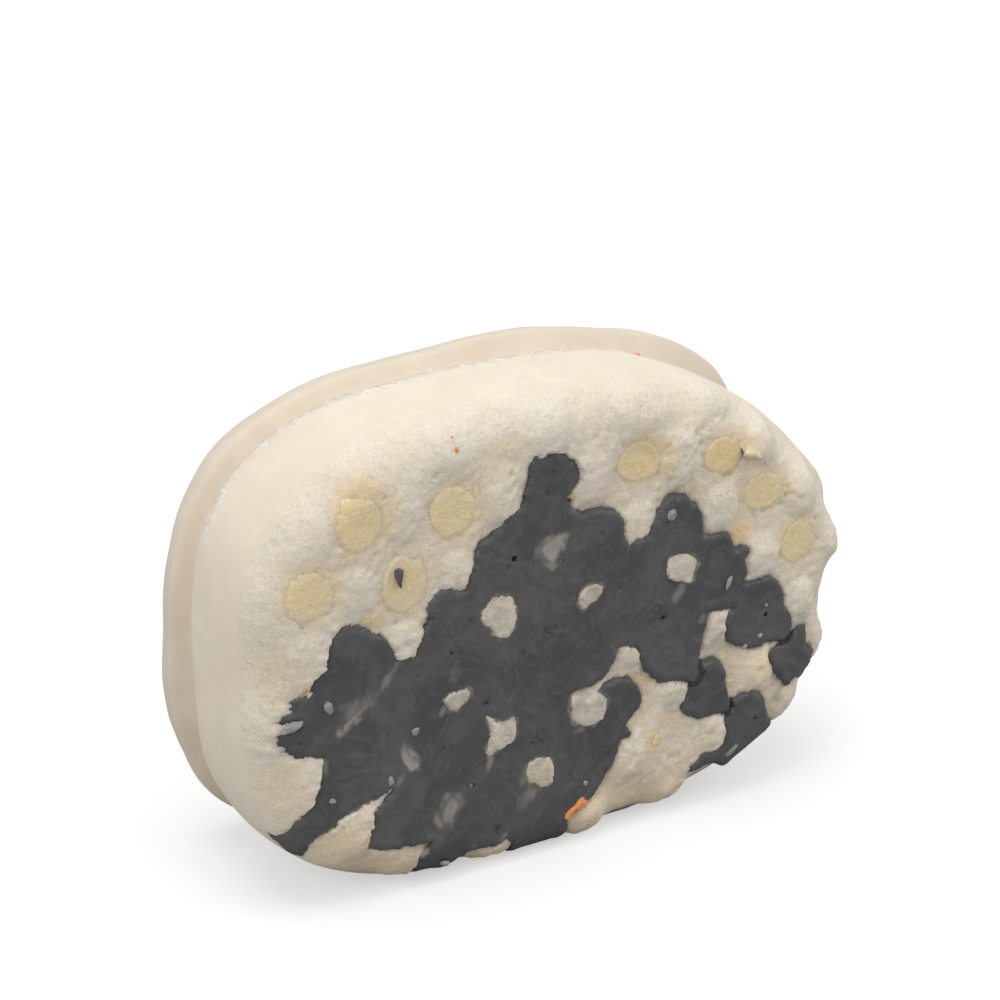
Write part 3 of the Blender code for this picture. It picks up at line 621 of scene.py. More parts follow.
def soap_edges(x, z):
    """Distance inside each charcoal body, the pour first, and inside each bare nub."""
    bodies = [outline_distance(x, z, points) for points in (POUR_OUTLINE, *ISLAND_OUTLINES)]
    nubs = [outline_distance(x, z, points) for _, _, _, points in BARE_NUBS]
    return bodies, nubs


def near_soap_edges(x, z):
    """Whether each place is beside an edge of the charcoal soap or of a bare nub."""
    bodies, nubs = soap_edges(x, z)
    body, nub = np.max(bodies, axis=0), np.max(nubs, axis=0)
    return ((body > -1.1 * MM) & (body < 0.7 * MM)) | (np.abs(nub) < 0.8 * MM)


def near_bubble_holes(x, z):
    """Whether each place is beside a bubble's hole or ring."""
    near = np.zeros(len(x), bool)
    for px, pz, radius in BUBBLE_HOLES + BUBBLE_RINGS:
        near |= np.hypot(x / MM - px, z / MM - pz) < radius + 0.45
    return near


def soap_marks(places, rows, s):
    """Everything that the charcoal soap does to the face, at each place."""
    x, z = face_places(places, s)
    front = rows[:, 2] < FACE_DEPTH
    torn = 0.5 * lumps(places, 1.4 * MM, 4.4) + 0.5 * lumps(places, 0.6 * MM, 6.1)
    torn *= s.tear * (0.60 + 0.40 * smooth(15 * MM, -20 * MM, x))
    grown = 0.1 * MM + 0.45 * MM * smooth(-15 * MM, 15 * MM, x)
    bodies, nubs = soap_edges(x, z)
    bodies = [np.where(front, body, OUTSIDE) + torn + grown for body in bodies]
    bare, soot, fringe = np.zeros(len(x)), np.zeros(len(x)), np.zeros(len(x))
    patchy = np.clip(0.65 + 0.9 * lumps(places, 1.8 * MM, 3.3), 0.0, 1.2)
    for (softness, strength, dirt, _), inside in zip(BARE_NUBS, nubs):
        open_now = strength * smooth(-softness * MM, softness * MM, inside + 0.8 * torn)
        bare = np.maximum(bare, np.where(front, open_now, 0.0))
        soot = np.maximum(soot, dirt * smooth(-1.5 * MM, 0.0, inside))
        width = (0.45 + 0.5 * softness) * MM
        fringe = np.maximum(fringe, patchy * np.exp(-(inside / width) ** 2))
    inside = np.max(bodies, axis=0)
    level = 0.15 * MM + (s.film_sink - 0.15 * MM) * rows[:, 3]
    level += 0.28 * MM * lumps(places, 11 * MM, 7.5) + 0.05 * MM * lumps(places, 3 * MM, 2.6)
    level -= 0.2 * MM * np.exp(-((inside - 1.4 * MM) / (1.0 * MM)) ** 2)
    return {"bodies": bodies, "inside": inside, "bare": bare, "soot": soot, "level": level,
            "fringe": np.where(front, fringe, 0.0)}


def foam_with_soap(foam, marks):
    """The foam pushed under the charcoal soap, and raised where bare nubs stand through it."""
    inside, bare, level = marks["inside"], marks["bare"], marks["level"]
    covered = smooth(-0.25 * MM, 0.3 * MM, inside) * (1 - smooth(0.45, 0.75, bare))
    foam = foam + covered * np.maximum(level + 0.4 * MM - foam, 0.0)
    standing = smooth(0.45, 0.8, bare) * smooth(0.0, 0.6 * MM, inside)
    foam = foam - standing * np.maximum(foam - (level - 0.05 * MM), 0.0)
    return foam + standing * np.maximum(level - 0.45 * MM - foam, 0.0)


def write_attribute(mesh, name, values):
    """Write a number for each point of a mesh, which its material reads."""
    layer = mesh.attributes.new(name, "FLOAT", "POINT")
    layer.data.foreach_set("value", np.asarray(values, dtype=np.float32))


def place_piece(name, bm, material, replaced):
    """Turn a finished bmesh into a piece that rides on the sponge."""
    bmesh.ops.recalc_face_normals(bm, faces=bm.faces)
    mesh = bpy.data.meshes.new(name)
    bm.to_mesh(mesh)
    bm.free()
    mesh.shade_smooth()
    mesh.materials.append(material)
    piece = bpy.data.objects.new(name, mesh)
    bpy.context.scene.collection.objects.link(piece)
    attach(piece, BODY)
    if replaced:
        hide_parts(*replaced)
    return piece


# Materials


class Tree:
    """A small helper that adds and joins shader nodes."""

    def __init__(self, tree):
        self.tree = tree

    def node(self, kind, options=None, **sockets):
        """Add a node, set its options and feed its sockets."""
        made = self.tree.nodes.new(kind)
        for key, value in (options or {}).items():
            setattr(made, key, value)
        for key, value in sockets.items():
            self.feed(made, key.replace("_", " "), value)
        return made

    def feed(self, node, key, value):
        """Join an output to a socket, or set the socket's own value."""
        socket = node.inputs[int(key)] if key.isdigit() else node.inputs[key]
        if isinstance(value, bpy.types.NodeSocket):
            self.tree.links.new(value, socket)
        elif isinstance(value, tuple) and socket.type == "RGBA":
            socket.default_value = (*value[:3], 1.0)
        else:
            socket.default_value = value

    def math(self, operation, *values, clamp=False):
        """One to three values worked out by a Math node."""
        made = self.node("ShaderNodeMath", {"operation": operation, "use_clamp": clamp})
        for number, value in enumerate(values):
            self.feed(made, str(number), value)
        return made.outputs[0]

    def times(self, first, second):
        """Two values multiplied."""
        return self.math("MULTIPLY", first, second)

    def shifted(self, place, by, reach):
        """A place moved by up to reach along the colour or value of a noise."""
        made = self.node("ShaderNodeVectorMath", {"operation": "MULTIPLY_ADD"})
        for number, value in enumerate((by, (reach, reach, reach), place)):
            self.feed(made, str(number), value)
        return made.outputs[0]

    def ramp(self, value, low, high, out_low=0.0, out_high=1.0):
        """A value eased from one range into another."""
        made = self.node("ShaderNodeMapRange", {"interpolation_type": "SMOOTHSTEP"},
                         Value=value, From_Min=low, From_Max=high, To_Min=out_low,
                         To_Max=out_high)
        return made.outputs[0]

    def mix(self, share, first, second, blend="MIX"):
        """Two colours mixed."""
        made = self.node("ShaderNodeMix", {"data_type": "RGBA", "blend_type": blend})
        self.feed(made, "0", share)
        self.feed(made, "6", first)
        self.feed(made, "7", second)
        return made.outputs[2]

    def noise(self, where, scale, detail=2.0, rough=0.5, distortion=0.0):
        """The value of a noise texture."""
        return self.node("ShaderNodeTexNoise", Vector=where, Scale=scale, Detail=detail,
                         Roughness=rough, Distortion=distortion).outputs[0]

    def attribute(self, name):
        """A number that write_attribute stored on the mesh."""
        return self.node("ShaderNodeAttribute", {"attribute_name": name}).outputs["Fac"]

    def place(self):
        """The place on the piece, in metres."""
        return self.node("ShaderNodeTexCoord").outputs["Object"]

    def bump(self, height, distance):
        """A normal bent by a height."""
        return self.node("ShaderNodeBump", Height=height, Distance=distance).outputs[0]


def group(name, inputs, outputs):
    """A new shader node group with named inputs and outputs."""
    tree = bpy.data.node_groups.new(name, "ShaderNodeTree")
    for key, kind, default in inputs:
        socket = tree.interface.new_socket(name=key, in_out="INPUT", socket_type=kind)
        if default is not None:
            socket.default_value = default
    for key, kind in outputs:
        tree.interface.new_socket(name=key, in_out="OUTPUT", socket_type=kind)
    return tree, tree.nodes.new("NodeGroupInput"), tree.nodes.new("NodeGroupOutput")


def pore_grain_group():
    """Open pores and fine cell walls of foam, as a height and a mask of the pores."""
    tree, given, out = group(
        "Pore Grain",
        [("Place", "NodeSocketVector", None), ("Pores per Metre", "NodeSocketFloat", 900.0),
         ("Openness", "NodeSocketFloat", 0.5)],
        [("Height", "NodeSocketFloat"), ("Pores", "NodeSocketFloat")])
    t = Tree(tree)
    place, scale, openness = given.outputs[:3]
    moved = t.shifted(place, t.noise(place, 700.0, 1.0), 0.0006)
    cells = t.node("ShaderNodeTexVoronoi", {"feature": "F1"}, Vector=moved,
                   Scale=scale).outputs["Distance"]
    field = t.noise(place, 260.0, 3.0)
    size = t.times(t.ramp(field, 0.42, 0.68), openness)
    pores = t.times(t.ramp(cells, 0.42, 0.12), size)
    fine = t.noise(place, 2600.0, 2.0, 0.6)
    height = t.math("SUBTRACT", t.times(fine, 0.35), t.times(pores, 0.45))
    t.feed(out, "Height", height)
    t.feed(out, "Pores", pores)
    return tree


def mottle_group():
    """A colour broken up by soft patches of a second one."""
    tree, given, out = group(
        "Mottle",
        [("Place", "NodeSocketVector", None), ("Colour", "NodeSocketColor", None),
         ("Patch Colour", "NodeSocketColor", None), ("Patches per Metre", "NodeSocketFloat", 90.0),
         ("Cover", "NodeSocketFloat", 0.5)],
        [("Colour", "NodeSocketColor")])
    t = Tree(tree)
    place, first, second, scale, cover = given.outputs[:5]
    field = t.noise(place, scale, 4.0, 0.6, 0.4)
    t.feed(out, "Colour", t.mix(t.times(t.ramp(field, 0.40, 0.66), cover), first, second))
    return tree


GROUPS = {"Pore Grain": pore_grain_group, "Mottle": mottle_group}


def use_group(t, name, **sockets):
    """Place a shared node group in a material, with its own values. Returns its outputs."""
    tree = bpy.data.node_groups.get(name) or GROUPS[name]()
    made = t.node("ShaderNodeGroup", {"node_tree": tree})
    for key, value in sockets.items():
        t.feed(made, key.replace("_", " "), value)
    return made.outputs


def new_material(name, **values):
    """A material with one Principled shader. Returns it, its shader and the node helper."""
    material = bpy.data.materials.new(name)
    material.use_nodes = True
    shader = material.node_tree.nodes["Principled BSDF"]
    for key, value in values.items():
        shader.inputs[key.replace("_", " ")].default_value = value
    return material, shader, Tree(material.node_tree)


def foam_material(c, name, glow, soak_and_shade_tint):
    """Open foam with clear and charcoal soap soaked in, painted shade in its pores, pockets and
    crevices, and a wet line in the groove with painted glints.

    The clear soap's own pieces use it too, with a smaller glow and their own colour for soaked
    soap and painted shade.
    """
    material, shader, t = new_material(
        name, Subsurface_Weight=0.6, Subsurface_Scale=glow,
        Subsurface_Radius=(1.0, 0.80, 0.50), Specular_IOR_Level=0.25, Coat_Roughness=0.12,
        Sheen_Weight=0.12, Sheen_Roughness=0.5)
    place = t.place()
    face, stain, soot, wet, rind, blush = (t.attribute(key) for key in (
        "face", "stain", "soot", "wet", "rind", "blush"))
    foam = tuple(c.foam)
    paler = tuple(min(1.0, value * 1.04 + 0.02) for value in foam)
    now = use_group(t, "Mottle", Place=place, Colour=foam, Patch_Colour=paler,
                    Patches_per_Metre=120.0, Cover=0.8)["Colour"]
    face_cover = t.times(face, t.ramp(t.noise(place, 70.0, 3.0), 0.35, 0.65, 0.5, 1.0))
    now = t.mix(face_cover, now, tuple(c.face))

    # Yellow soap, in broad stains and in small scattered spots. The same tint also paints warm
    # shade in the pockets and darker shade low on the face
    patch = t.noise(place, 330.0, 4.0, 0.6)
    cells = t.node("ShaderNodeTexVoronoi", {"feature": "F1"}, Vector=place, Scale=260.0)
    chosen = t.node("ShaderNodeSeparateColor", Color=cells.outputs["Color"]).outputs[0]
    spots = t.times(t.ramp(cells.outputs["Distance"], 0.38, 0.24),
                    t.ramp(chosen, 0.66, 0.74, 0.0, 0.30))
    spots = t.times(t.times(spots, face), t.ramp(t.noise(place, 60.0, 2.0), 0.45, 0.60))
    yellow = t.times(stain, t.ramp(patch, 0.28, 0.62, 0.62, 1.0))
    now = t.mix(t.math("MAXIMUM", yellow, spots), now, tuple(soak_and_shade_tint))
    now = t.mix(blush, now, tuple(c.blush))

    # Painted shade in the open pores, speckle, and soot that also paints shadow beside the
    # charcoal soap
    grain = use_group(t, "Pore Grain", Place=place, Pores_per_Metre=900.0, Openness=1.0)
    pore_shade = tuple(value * 0.72 for value in foam)
    now = t.mix(t.times(t.times(grain["Pores"], face), 0.12), now, pore_shade)
    speckle = t.ramp(t.noise(place, 1500.0, 3.0, 0.6), 0.30, 0.70, 0.93, 1.04)
    now = t.mix(face, now, t.mix(1.0, now, speckle, "MULTIPLY"))
    # Painted shadow: the soot colour also darkens foam beside the charcoal soap and in narrow gaps
    smudge_and_shade = t.times(soot, t.ramp(t.noise(place, 420.0, 4.0, 0.6), 0.25, 0.65, 0.3, 1.0))
    now = t.mix(smudge_and_shade, now, tuple(c.soot))

    # The duller rind of the rear lobe, and painted glints: thin white strands painted into the
    # colour along the wet groove
    now = t.mix(t.times(rind, 0.75), now, t.mix(1.0, now, (0.86, 0.86, 0.88), "MULTIPLY"))
    painted_glint_strands = t.math("ABSOLUTE", t.math("SUBTRACT", t.noise(place, 420.0, 2.0), 0.5))
    glint_patches = t.times(wet, t.ramp(t.noise(place, 110.0, 2.0), 0.38, 0.54))
    painted_glint_strands = t.times(t.ramp(painted_glint_strands, 0.060, 0.012), glint_patches)
    now = t.mix(painted_glint_strands, now, (1.0, 1.0, 0.95))
    t.feed(shader, "Base Color", now)
    rough = t.ramp(rind, 0.0, 1.0, 0.78, 0.5)
    t.feed(shader, "Roughness", t.math("SUBTRACT", rough, t.times(wet, 0.42)))
    gloss = t.ramp(t.noise(place, 520.0, 3.0), 0.40, 0.56, 0.0, 0.9)
    t.feed(shader, "Coat Weight", t.times(wet, gloss))

    height = t.times(grain["Height"], t.math("MULTIPLY_ADD", face, 0.55, 0.5))
    fine = t.times(t.noise(place, 3200.0, 2.0), 0.25)
    ripple = t.times(t.math("ADD", t.noise(place, 900.0, 3.0, 0.6), painted_glint_strands), wet)
    fluff = t.times(t.noise(place, 560.0, 4.0, 0.65), t.times(face, 1.7))
    total = t.math("ADD", t.math("ADD", height, fine),
                   t.math("ADD", t.times(ripple, 0.8), fluff))
    t.feed(shader, "Normal", t.bump(total, 0.00022))
    return material


def charcoal_material(c):
    """Charcoal soap with paler swirls, smears where it is thin, and bubbles' pits painted near
    black and ring grooves painted dark, as their shade.
    """
    material, shader, t = new_material("charcoal_soap_look", Specular_IOR_Level=0.4)
    place = t.place()
    drift = t.node("ShaderNodeTexNoise", Vector=place, Scale=60.0, Detail=2.0)
    moved = t.shifted(place, drift.outputs["Color"], 0.035)
    swirl = t.noise(moved, 75.0, 5.0, 0.55, 0.6)
    streak = t.noise(moved, 240.0, 4.0, 0.6, 1.6)
    smoke = t.math("ADD", t.ramp(swirl, 0.38, 0.68, 0.0, 0.7),
                   t.ramp(streak, 0.42, 0.66, 0.0, 0.6), clamp=True)
    base = t.mix(smoke, tuple(c.charcoal), tuple(c.smoke))
    broken = t.times(t.math("SUBTRACT", t.noise(place, 520.0, 4.0, 0.65), 0.5), 0.5)
    smear = t.attribute("smear")
    torn = t.times(t.math("ADD", smear, broken), t.ramp(smear, 0.0, 0.25))
    base = t.mix(t.ramp(torn, 0.12, 1.0), base, tuple(c.smear))
    # Painted shade: the grooves of closed bubbles' rings are darkened, and the pits of open
    # bubbles are made near black
    base = t.mix(t.times(t.attribute("ring"), 0.55), base, (0.02, 0.02, 0.02))
    base = t.mix(t.attribute("shaded_pit"), base, (0.012, 0.010, 0.009))
    t.feed(shader, "Base Color", base)
    t.feed(shader, "Roughness", t.ramp(swirl, 0.3, 0.7, 0.42, 0.56))
    fine = t.times(t.noise(place, 900.0, 3.0, 0.55), 0.25)
    t.feed(shader, "Normal", t.bump(t.math("ADD", fine, t.noise(place, 210.0, 2.0)), 0.0003))
    return material


def soap_material(name, base_colour, second, rough):
    """Opaque soap with soft patches of a second colour."""
    material, shader, t = new_material(
        name, Subsurface_Weight=0.2, Subsurface_Scale=SOAP_GLOW,
        Subsurface_Radius=(1.0, 0.8, 0.6))
    place = t.place()
    base = use_group(t, "Mottle", Place=place, Colour=base_colour, Patch_Colour=second,
                     Patches_per_Metre=140.0, Cover=0.8)
    t.feed(shader, "Base Color", base["Colour"])
    t.feed(shader, "Roughness", t.ramp(t.noise(place, 300.0, 3.0), 0.3, 0.7,
                                       rough - 0.06, rough + 0.1))
    fine = t.times(t.noise(place, 1500.0, 2.0), 0.2)
    t.feed(shader, "Normal", t.bump(t.math("ADD", t.noise(place, 130.0, 3.0), fine), 0.0003))
    return material


# Pieces


def make_foam(s, c):
    """The foam body with its nubs, groove, rear lobe and the hollow behind."""
    rings = len(side_rows(s)) - 1
    bm = unit_sheet(FOAM_GRID, rings, filled=True)
    refine(bm, s, near_soap_edges)
    unit, rows = bend(bm, s)
    places = read_places(bm)
    normals = np.array([v.normal[:] for v in bm.verts])
    x, z = face_places(places, s)
    ring, depth_back = unit[:, 2], rows[:, 2]
    on_face = np.clip(rows[:, 3] * 1.6, 0.0, 1.0)
    front = ring <= ROUND_RINGS + LOBE_RINGS
    marks = soap_marks(places, rows, s)

    open_depth = nub_depth(places, unit, rows, s)
    calm = 1 - 0.45 * smooth(0.0, 0.5 * MM, marks["inside"])
    crumble = s.crumble * (lumps(places, 1.7 * MM, 5.3) + 0.6 * lumps(places, 0.8 * MM, 2.9))
    crumble *= 0.8 + 0.8 * smooth(-4 * MM, 0.0, marks["inside"])
    open_pores = smooth(0.40, 0.12, pits(places, 2.2 * MM, 2.2)) * smooth(
        0.0, 0.35, lumps(places, 7 * MM, 9.1))
    sink = open_depth + on_face * calm * (crumble + 0.45 * MM * open_pores)
    sink = foam_with_soap(sink, marks)
    # Narrow gaps are sunk into the foam and painted dark as their shade
    shaded_gap = np.where(front, nearby(x, z, SHADED_GAPS), 0.0)
    sink += 1.3 * MM * shaded_gap + on_face * 0.16 * MM * marks["bare"] * lumps(places, 1.1 * MM, 6.6)
    sink[ring >= rings - 1] = 0.0
    moved = places - normals * sink[:, None]
    moved[:, 2] = np.maximum(moved[:, 2], 0.0)
    move_to(bm, moved)

    # Painted shade: pockets are tinted warm by their depth
    painted_pocket_warmth = 0.30 * smooth(0.7 * MM, 2.2 * MM, open_depth)
    stain = np.maximum(yellow_share(x, z), painted_pocket_warmth) * np.clip(rows[:, 3] * 2, 0.0, 1.0)
    # Painted shade: the face is tinted yellower and darker towards the bottom
    low = smooth(-20 * MM, -42 * MM, z) * on_face
    # Painted shadow: foam just outside the charcoal soap's edge is darkened, more to the right,
    # besides real charcoal smudges
    beside = smooth(-0.9 * MM, 0.3 * MM, marks["inside"]) * (1 - marks["bare"])
    smudge_and_shadow_strength = 0.25 + 0.5 * smooth(-20 * MM, 25 * MM, x)
    soot = np.maximum(beside * smudge_and_shadow_strength, marks["soot"] * (marks["bare"] > 0.05))
    soot = np.clip(np.maximum(soot, 0.85 * marks["fringe"] * (marks["inside"] > 0)) + shaded_gap, 0, 1)
    soot = np.maximum(soot, nearby(x, z, SOOT_SPOTS) * on_face)
    wet = np.exp(-((depth_back - (s.front_lobe - 0.8 * MM)) / (1.9 * MM)) ** 2) * smooth(
        0.45, 0.75, unit[:, 1]) * (ring > ROUND_RINGS) * smooth(0.75, 0.35, unit[:, 0])
    rear = smooth(s.front_lobe + 3 * MM, s.front_lobe + s.grip_width, depth_back)
    look = foam_material(c, "cream_foam_look", FOAM_GLOW, c.stain)
    piece = place_piece("foam_body", bm, look, ["sponge_foam"])
    for name, values in (("stain", np.maximum(stain, 0.45 * low)), ("soot", soot * front),
                         ("face", on_face), ("wet", wet), ("rind", rear),
                         ("blush", nearby(x, z, BLUSH_SPOTS) * on_face)):
        write_attribute(piece.data, name, values)
    return piece


def closed_layer(sheet, keep, front, back, values):
    """Cut a layer of soap out of the sheet, and close it between its front and back depths."""
    bm = sheet["bm"].copy()
    places, normals = sheet["places"], sheet["normals"]
    near = places - normals * front[:, None]
    far = places - normals * back[:, None]
    far[:, 2] = np.maximum(far[:, 2], 0.0)
    near[:, 2] = np.maximum(near[:, 2], 0.0)
    stores = [bm.verts.layers.float.new(name) for name in values]
    side = bm.verts.layers.float_vector.new("back")
    for number, vert in enumerate(bm.verts):
        vert.index = number
    gone = [f for f in bm.faces if not any(keep[v.index] for v in f.verts)]
    for vert in bm.verts:
        number = vert.index
        for store, column in zip(stores, values.values()):
            vert[store] = column[number]
        vert[side] = far[number]
        vert.co = near[number]
    bmesh.ops.delete(bm, geom=gone, context="FACES")
    made = bmesh.ops.extrude_face_region(bm, geom=bm.faces[:])["geom"]
    for item in made:
        if isinstance(item, bmesh.types.BMVert):
            item.co = item[side]
    bm.verts.layers.float_vector.remove(bm.verts.layers.float_vector["back"])
    return bm


def make_film(name, body, s, material, replaced, sheet):
    """One body of charcoal soap, the pour or an island, by its number among the outlines."""
    rows, foam, marks = (sheet[key] for key in ("rows", "foam", "marks"))
    others = [inside for number, inside in enumerate(marks["bodies"]) if number != body]
    own = marks["bodies"][body]
    if body:
        own = np.minimum(own, -others[0] - 0.03 * MM)
    limit = SIDE_LIMIT - rows[:, 2] + 6 * MM * (rows[:, 2] < 0.5 * MM)
    inside = np.minimum(marks["inside"], limit)
    bare = smooth(0.30, 0.80, marks["bare"])
    lip = s.film_lip * (0.7 + 0.4 * smooth(-15 * MM, 15 * MM, sheet["places"][:, 0]))
    round_off = 1 - np.sqrt(1 - (1 - np.clip(inside / lip, 0.0, 1.0)) ** 2)
    bottom = np.maximum(foam, marks["level"]) + 0.45 * MM
    front = marks["level"] + (bottom - marks["level"]) * round_off + 0.95 * MM * bare
    front = front + sheet["shaded_pit"] * 0.7 * MM + sheet["ring"] * 0.10 * MM
    keep = (np.minimum(own, limit) > -0.5 * MM) & (
        front < foam + 0.5 * MM + 0.7 * MM * (sheet["shaded_pit"] > 0))
    back = np.maximum(foam - 0.02 * MM, front + 0.2 * MM)
    x, z = face_places(sheet["places"], s)
    smear = np.maximum(nearby(x, z, SMEARS), 1.2 * smooth(0.02, 0.75, marks["bare"]))
    smear = np.maximum(smear, 0.55 * marks["fringe"])
    smear = np.maximum(smear, 0.35 * smooth(0.5 * MM, 0.0, inside) * smooth(0.0, 20 * MM, x))
    bm = closed_layer(sheet, keep, front, back,
                      {"smear": smear, "shaded_pit": sheet["shaded_pit"], "ring": sheet["ring"]})
    return place_piece(name, bm, material, replaced)


def film_sheet(s):
    """The smooth face in fine squares, with the foam's depth below it at each point."""
    bm = unit_sheet(FILM_GRID, FILM_SIDE_RINGS)
    refine(bm, s, near_soap_edges)
    refine(bm, s, near_bubble_holes)
    refine(bm, s, near_bubble_holes)
    unit, rows = bend(bm, s)
    places = read_places(bm)
    normals = np.array([v.normal[:] for v in bm.verts])
    marks = soap_marks(places, rows, s)
    open_foam = nub_depth(places, unit, rows, s)
    x, z = face_places(places, s)
    shaded_pit, ring = np.zeros(len(x)), np.zeros(len(x))
    for px, pz, radius in BUBBLE_HOLES:
        away = np.hypot(x / MM - px, z / MM - pz)
        shaded_pit = np.maximum(shaded_pit, smooth(radius, 0.35 * radius, away))
    for px, pz, radius in BUBBLE_RINGS:
        away = np.hypot(x / MM - px, z / MM - pz)
        ring = np.maximum(ring, np.exp(-((away - radius) / 0.13) ** 2))
    return {"bm": bm, "places": places, "normals": normals, "rows": rows, "marks": marks,
            "open_foam": open_foam, "foam": foam_with_soap(open_foam, marks), "shaded_pit": shaded_pit,
            "ring": ring}


def make_pool(number, cell, sink, s, material, sheet):
    """Clear soap that has soaked into one pocket of the face, with an edge that thins out."""
    places, foam = sheet["places"], sheet["open_foam"]
    x, z = face_places(places, s)
    away = cells_away(x, z, cell, s)
    yellow = yellow_share(x, z)
    ragged = yellow / np.max(yellow[away < 0.5]) + 0.14 * lumps(places, 1.8 * MM, 5.7)
    ragged *= smooth(0.66, 0.46, away)
    level = np.maximum(foam - 0.22 * MM, sink * MM - 0.3 * MM)
    level = level + 0.05 * MM * lumps(places, 3 * MM, 2.9)
    thin = smooth(0.85, 0.55, ragged)
    front = level + (foam + 0.15 * MM - level) * thin
    bare_foam = sheet["marks"]["inside"] < -0.3 * MM
    keep = (ragged > 0.5) & (front < foam + 0.2 * MM) & bare_foam
    back = np.maximum(foam, front) + 0.25 * MM
    bm = closed_layer(sheet, keep, front, back, {"stain": yellow, "face": np.ones(len(x))})
    return place_piece(f"clear_pool_{number}", bm, material,
                       [f"soap_pool_{number}"])


def make_core(c):
    """The cream soap block in the back, crowned and rounded into the foam."""
    bm = unit_sheet(CORE_GRID, CORE_RINGS, filled=True)
    unit = read_places(bm)
    ring = unit[:, 2]
    half_length = (CORE_HIGH.x - CORE_LOW.x) / 2
    half_height = (CORE_HIGH.z - CORE_LOW.z) / 2
    turn = np.clip(ring / (CORE_RINGS - 1), 0, 1) * math.pi / 2
    inset = CORE_ROUND * (1 - np.sin(turn))
    x, z = outline(unit[:, 0], unit[:, 1], half_length - inset, half_height - inset, rear=1.0)
    reach = np.clip(1 - (np.abs(x / half_length) ** 3 + np.abs(z / half_height) ** 3), 0.0, 1.0)
    crown = CORE_CROWN * reach ** 0.5
    y = CORE_HIGH.y + crown - CORE_RIM_DROP * (1 - np.cos(turn)) - CORE_SINK
    y = np.where(ring == CORE_RINGS, CORE_LOW.y, y)
    middle = (CORE_LOW.z + CORE_HIGH.z) / 2
    places = np.stack([x, y, z + middle], axis=1)
    places[:, 1] += np.where(ring < 4, 0.25 * MM * lumps(places, 15 * MM, 4.0), 0.0)
    move_to(bm, places)
    look = soap_material("cream_soap_look", tuple(c.core), tuple(v * 1.08 for v in c.core), 0.4)
    return place_piece("cream_core", bm, look, ["cream_soap_core"])


def make_lump(name, place, size, seed, s, material, replaced, turn=0.0, waist=0.0,
              taper=0.0):
    """A crumb or fleck of soap, seated on the face at a place in millimetres.

    It can be turned on the face in degrees, drawn in at its waist, or drawn out to a low tip.
    """
    bm = bmesh.new()
    bmesh.ops.create_icosphere(bm, subdivisions=4, radius=1.0)
    ball = read_places(bm)
    ball *= 1 + 0.40 * lumps(ball, 0.9, seed)[:, None] + 0.12 * lumps(ball, 0.3, seed)[:, None]
    ball[:, 2] *= 1 - waist * np.exp(-(ball[:, 0] / 0.3) ** 2)
    ball[:, 0] *= 1 - taper * smooth(0.4, -1.0, ball[:, 2])
    ball *= np.array(size) * MM
    across, upwards = turned(ball[:, 0], ball[:, 2], turn)
    middle = s.half_height - s.foot_cut
    move_to(bm, np.stack([across + place[0] * MM, ball[:, 1] + FOAM_LOW.y + place[2] * MM,
                          upwards + place[1] * MM + middle], axis=1))
    return place_piece(name, bm, material, replaced)


def make_floor(scene):
    """A pale floor that glows a little for the camera and less towards the sponge."""
    bm = bmesh.new()
    bmesh.ops.create_grid(bm, x_segments=1, y_segments=1, size=4.0)
    mesh = bpy.data.meshes.new("studio_floor")
    bm.to_mesh(mesh)
    bm.free()
    floor = bpy.data.objects.new("studio_floor", mesh)
    scene.collection.objects.link(floor)
    material, shader, t = new_material(
        "studio_floor_look", Roughness=0.9, Specular_IOR_Level=0.0,
        Emission_Color=(1.0, 1.0, 1.0, 1.0))
    seen = t.node("ShaderNodeLightPath").outputs["Is Camera Ray"]
    t.feed(shader, "Base Color", t.mix(seen, (FLOOR_GREY,) * 3, (FLOOR_GREY_SEEN,) * 3))
    away = t.node("ShaderNodeVectorMath", {"operation": "LENGTH"}, Vector=t.place())
    glow = t.ramp(away.outputs["Value"], *FLOOR_GLOW)
    t.feed(shader, "Emission Strength", t.times(seen, glow))
    mesh.materials.append(material)


def make_world(scene):
    """White light from all round, brighter where the camera sees it."""
    world = bpy.data.worlds.new("studio")
    world.use_nodes = True
    t = Tree(world.node_tree)
    background = world.node_tree.nodes["Background"]
    background.inputs["Color"].default_value = (1.0, 1.0, 1.0, 1.0)
    seen = t.node("ShaderNodeLightPath").outputs["Is Camera Ray"]
    t.feed(background, "Strength", t.math("MULTIPLY_ADD", seen, WORLD_LIGHT_SEEN, WORLD_LIGHT))
    scene.world = world


def make_lamp(scene, name, place, size, watts):
    """A disc lamp that is turned towards the sponge."""
    light = bpy.data.lights.new(name, "AREA")
    light.shape = "DISK"
    light.size = size
    light.energy = watts
    made = bpy.data.objects.new(name, light)
    scene.collection.objects.link(made)
    made.location = place
    direction = made.location - Vector(LAMP_AIM)
    made.rotation_euler = direction.to_track_quat("Z", "Y").to_euler()


def make_camera(scene):
    """A camera where the photograph was taken from."""
    lens = bpy.data.cameras.new("photo_camera")
    lens.sensor_width = 36.0
    lens.lens = CAMERA_LENS
    camera = bpy.data.objects.new("photo_camera", lens)
    scene.collection.objects.link(camera)
    camera.location = CAMERA_PLACE
    camera.rotation_euler = CAMERA_TURN
    scene.camera = camera


def settings():
    """The sizes and colours that the user has set."""
    scene = bpy.context.scene
    return scene.sponge_sizes, scene.sponge_colours


SHEETS = {}


def shared_sheet(s):
    """The face's fine sheet, made once for all the soap that lies on it."""
    if "face" not in SHEETS:
        SHEETS["face"] = film_sheet(s)
    return SHEETS["face"]


class SPONGE_OT_foam(bpy.types.Operator):
    """Make the nubbed foam body"""

    bl_idname = "sponge.make_foam"
    bl_label = "Foam Body"

    def execute(self, context):
        make_foam(*settings())
        return {"FINISHED"}


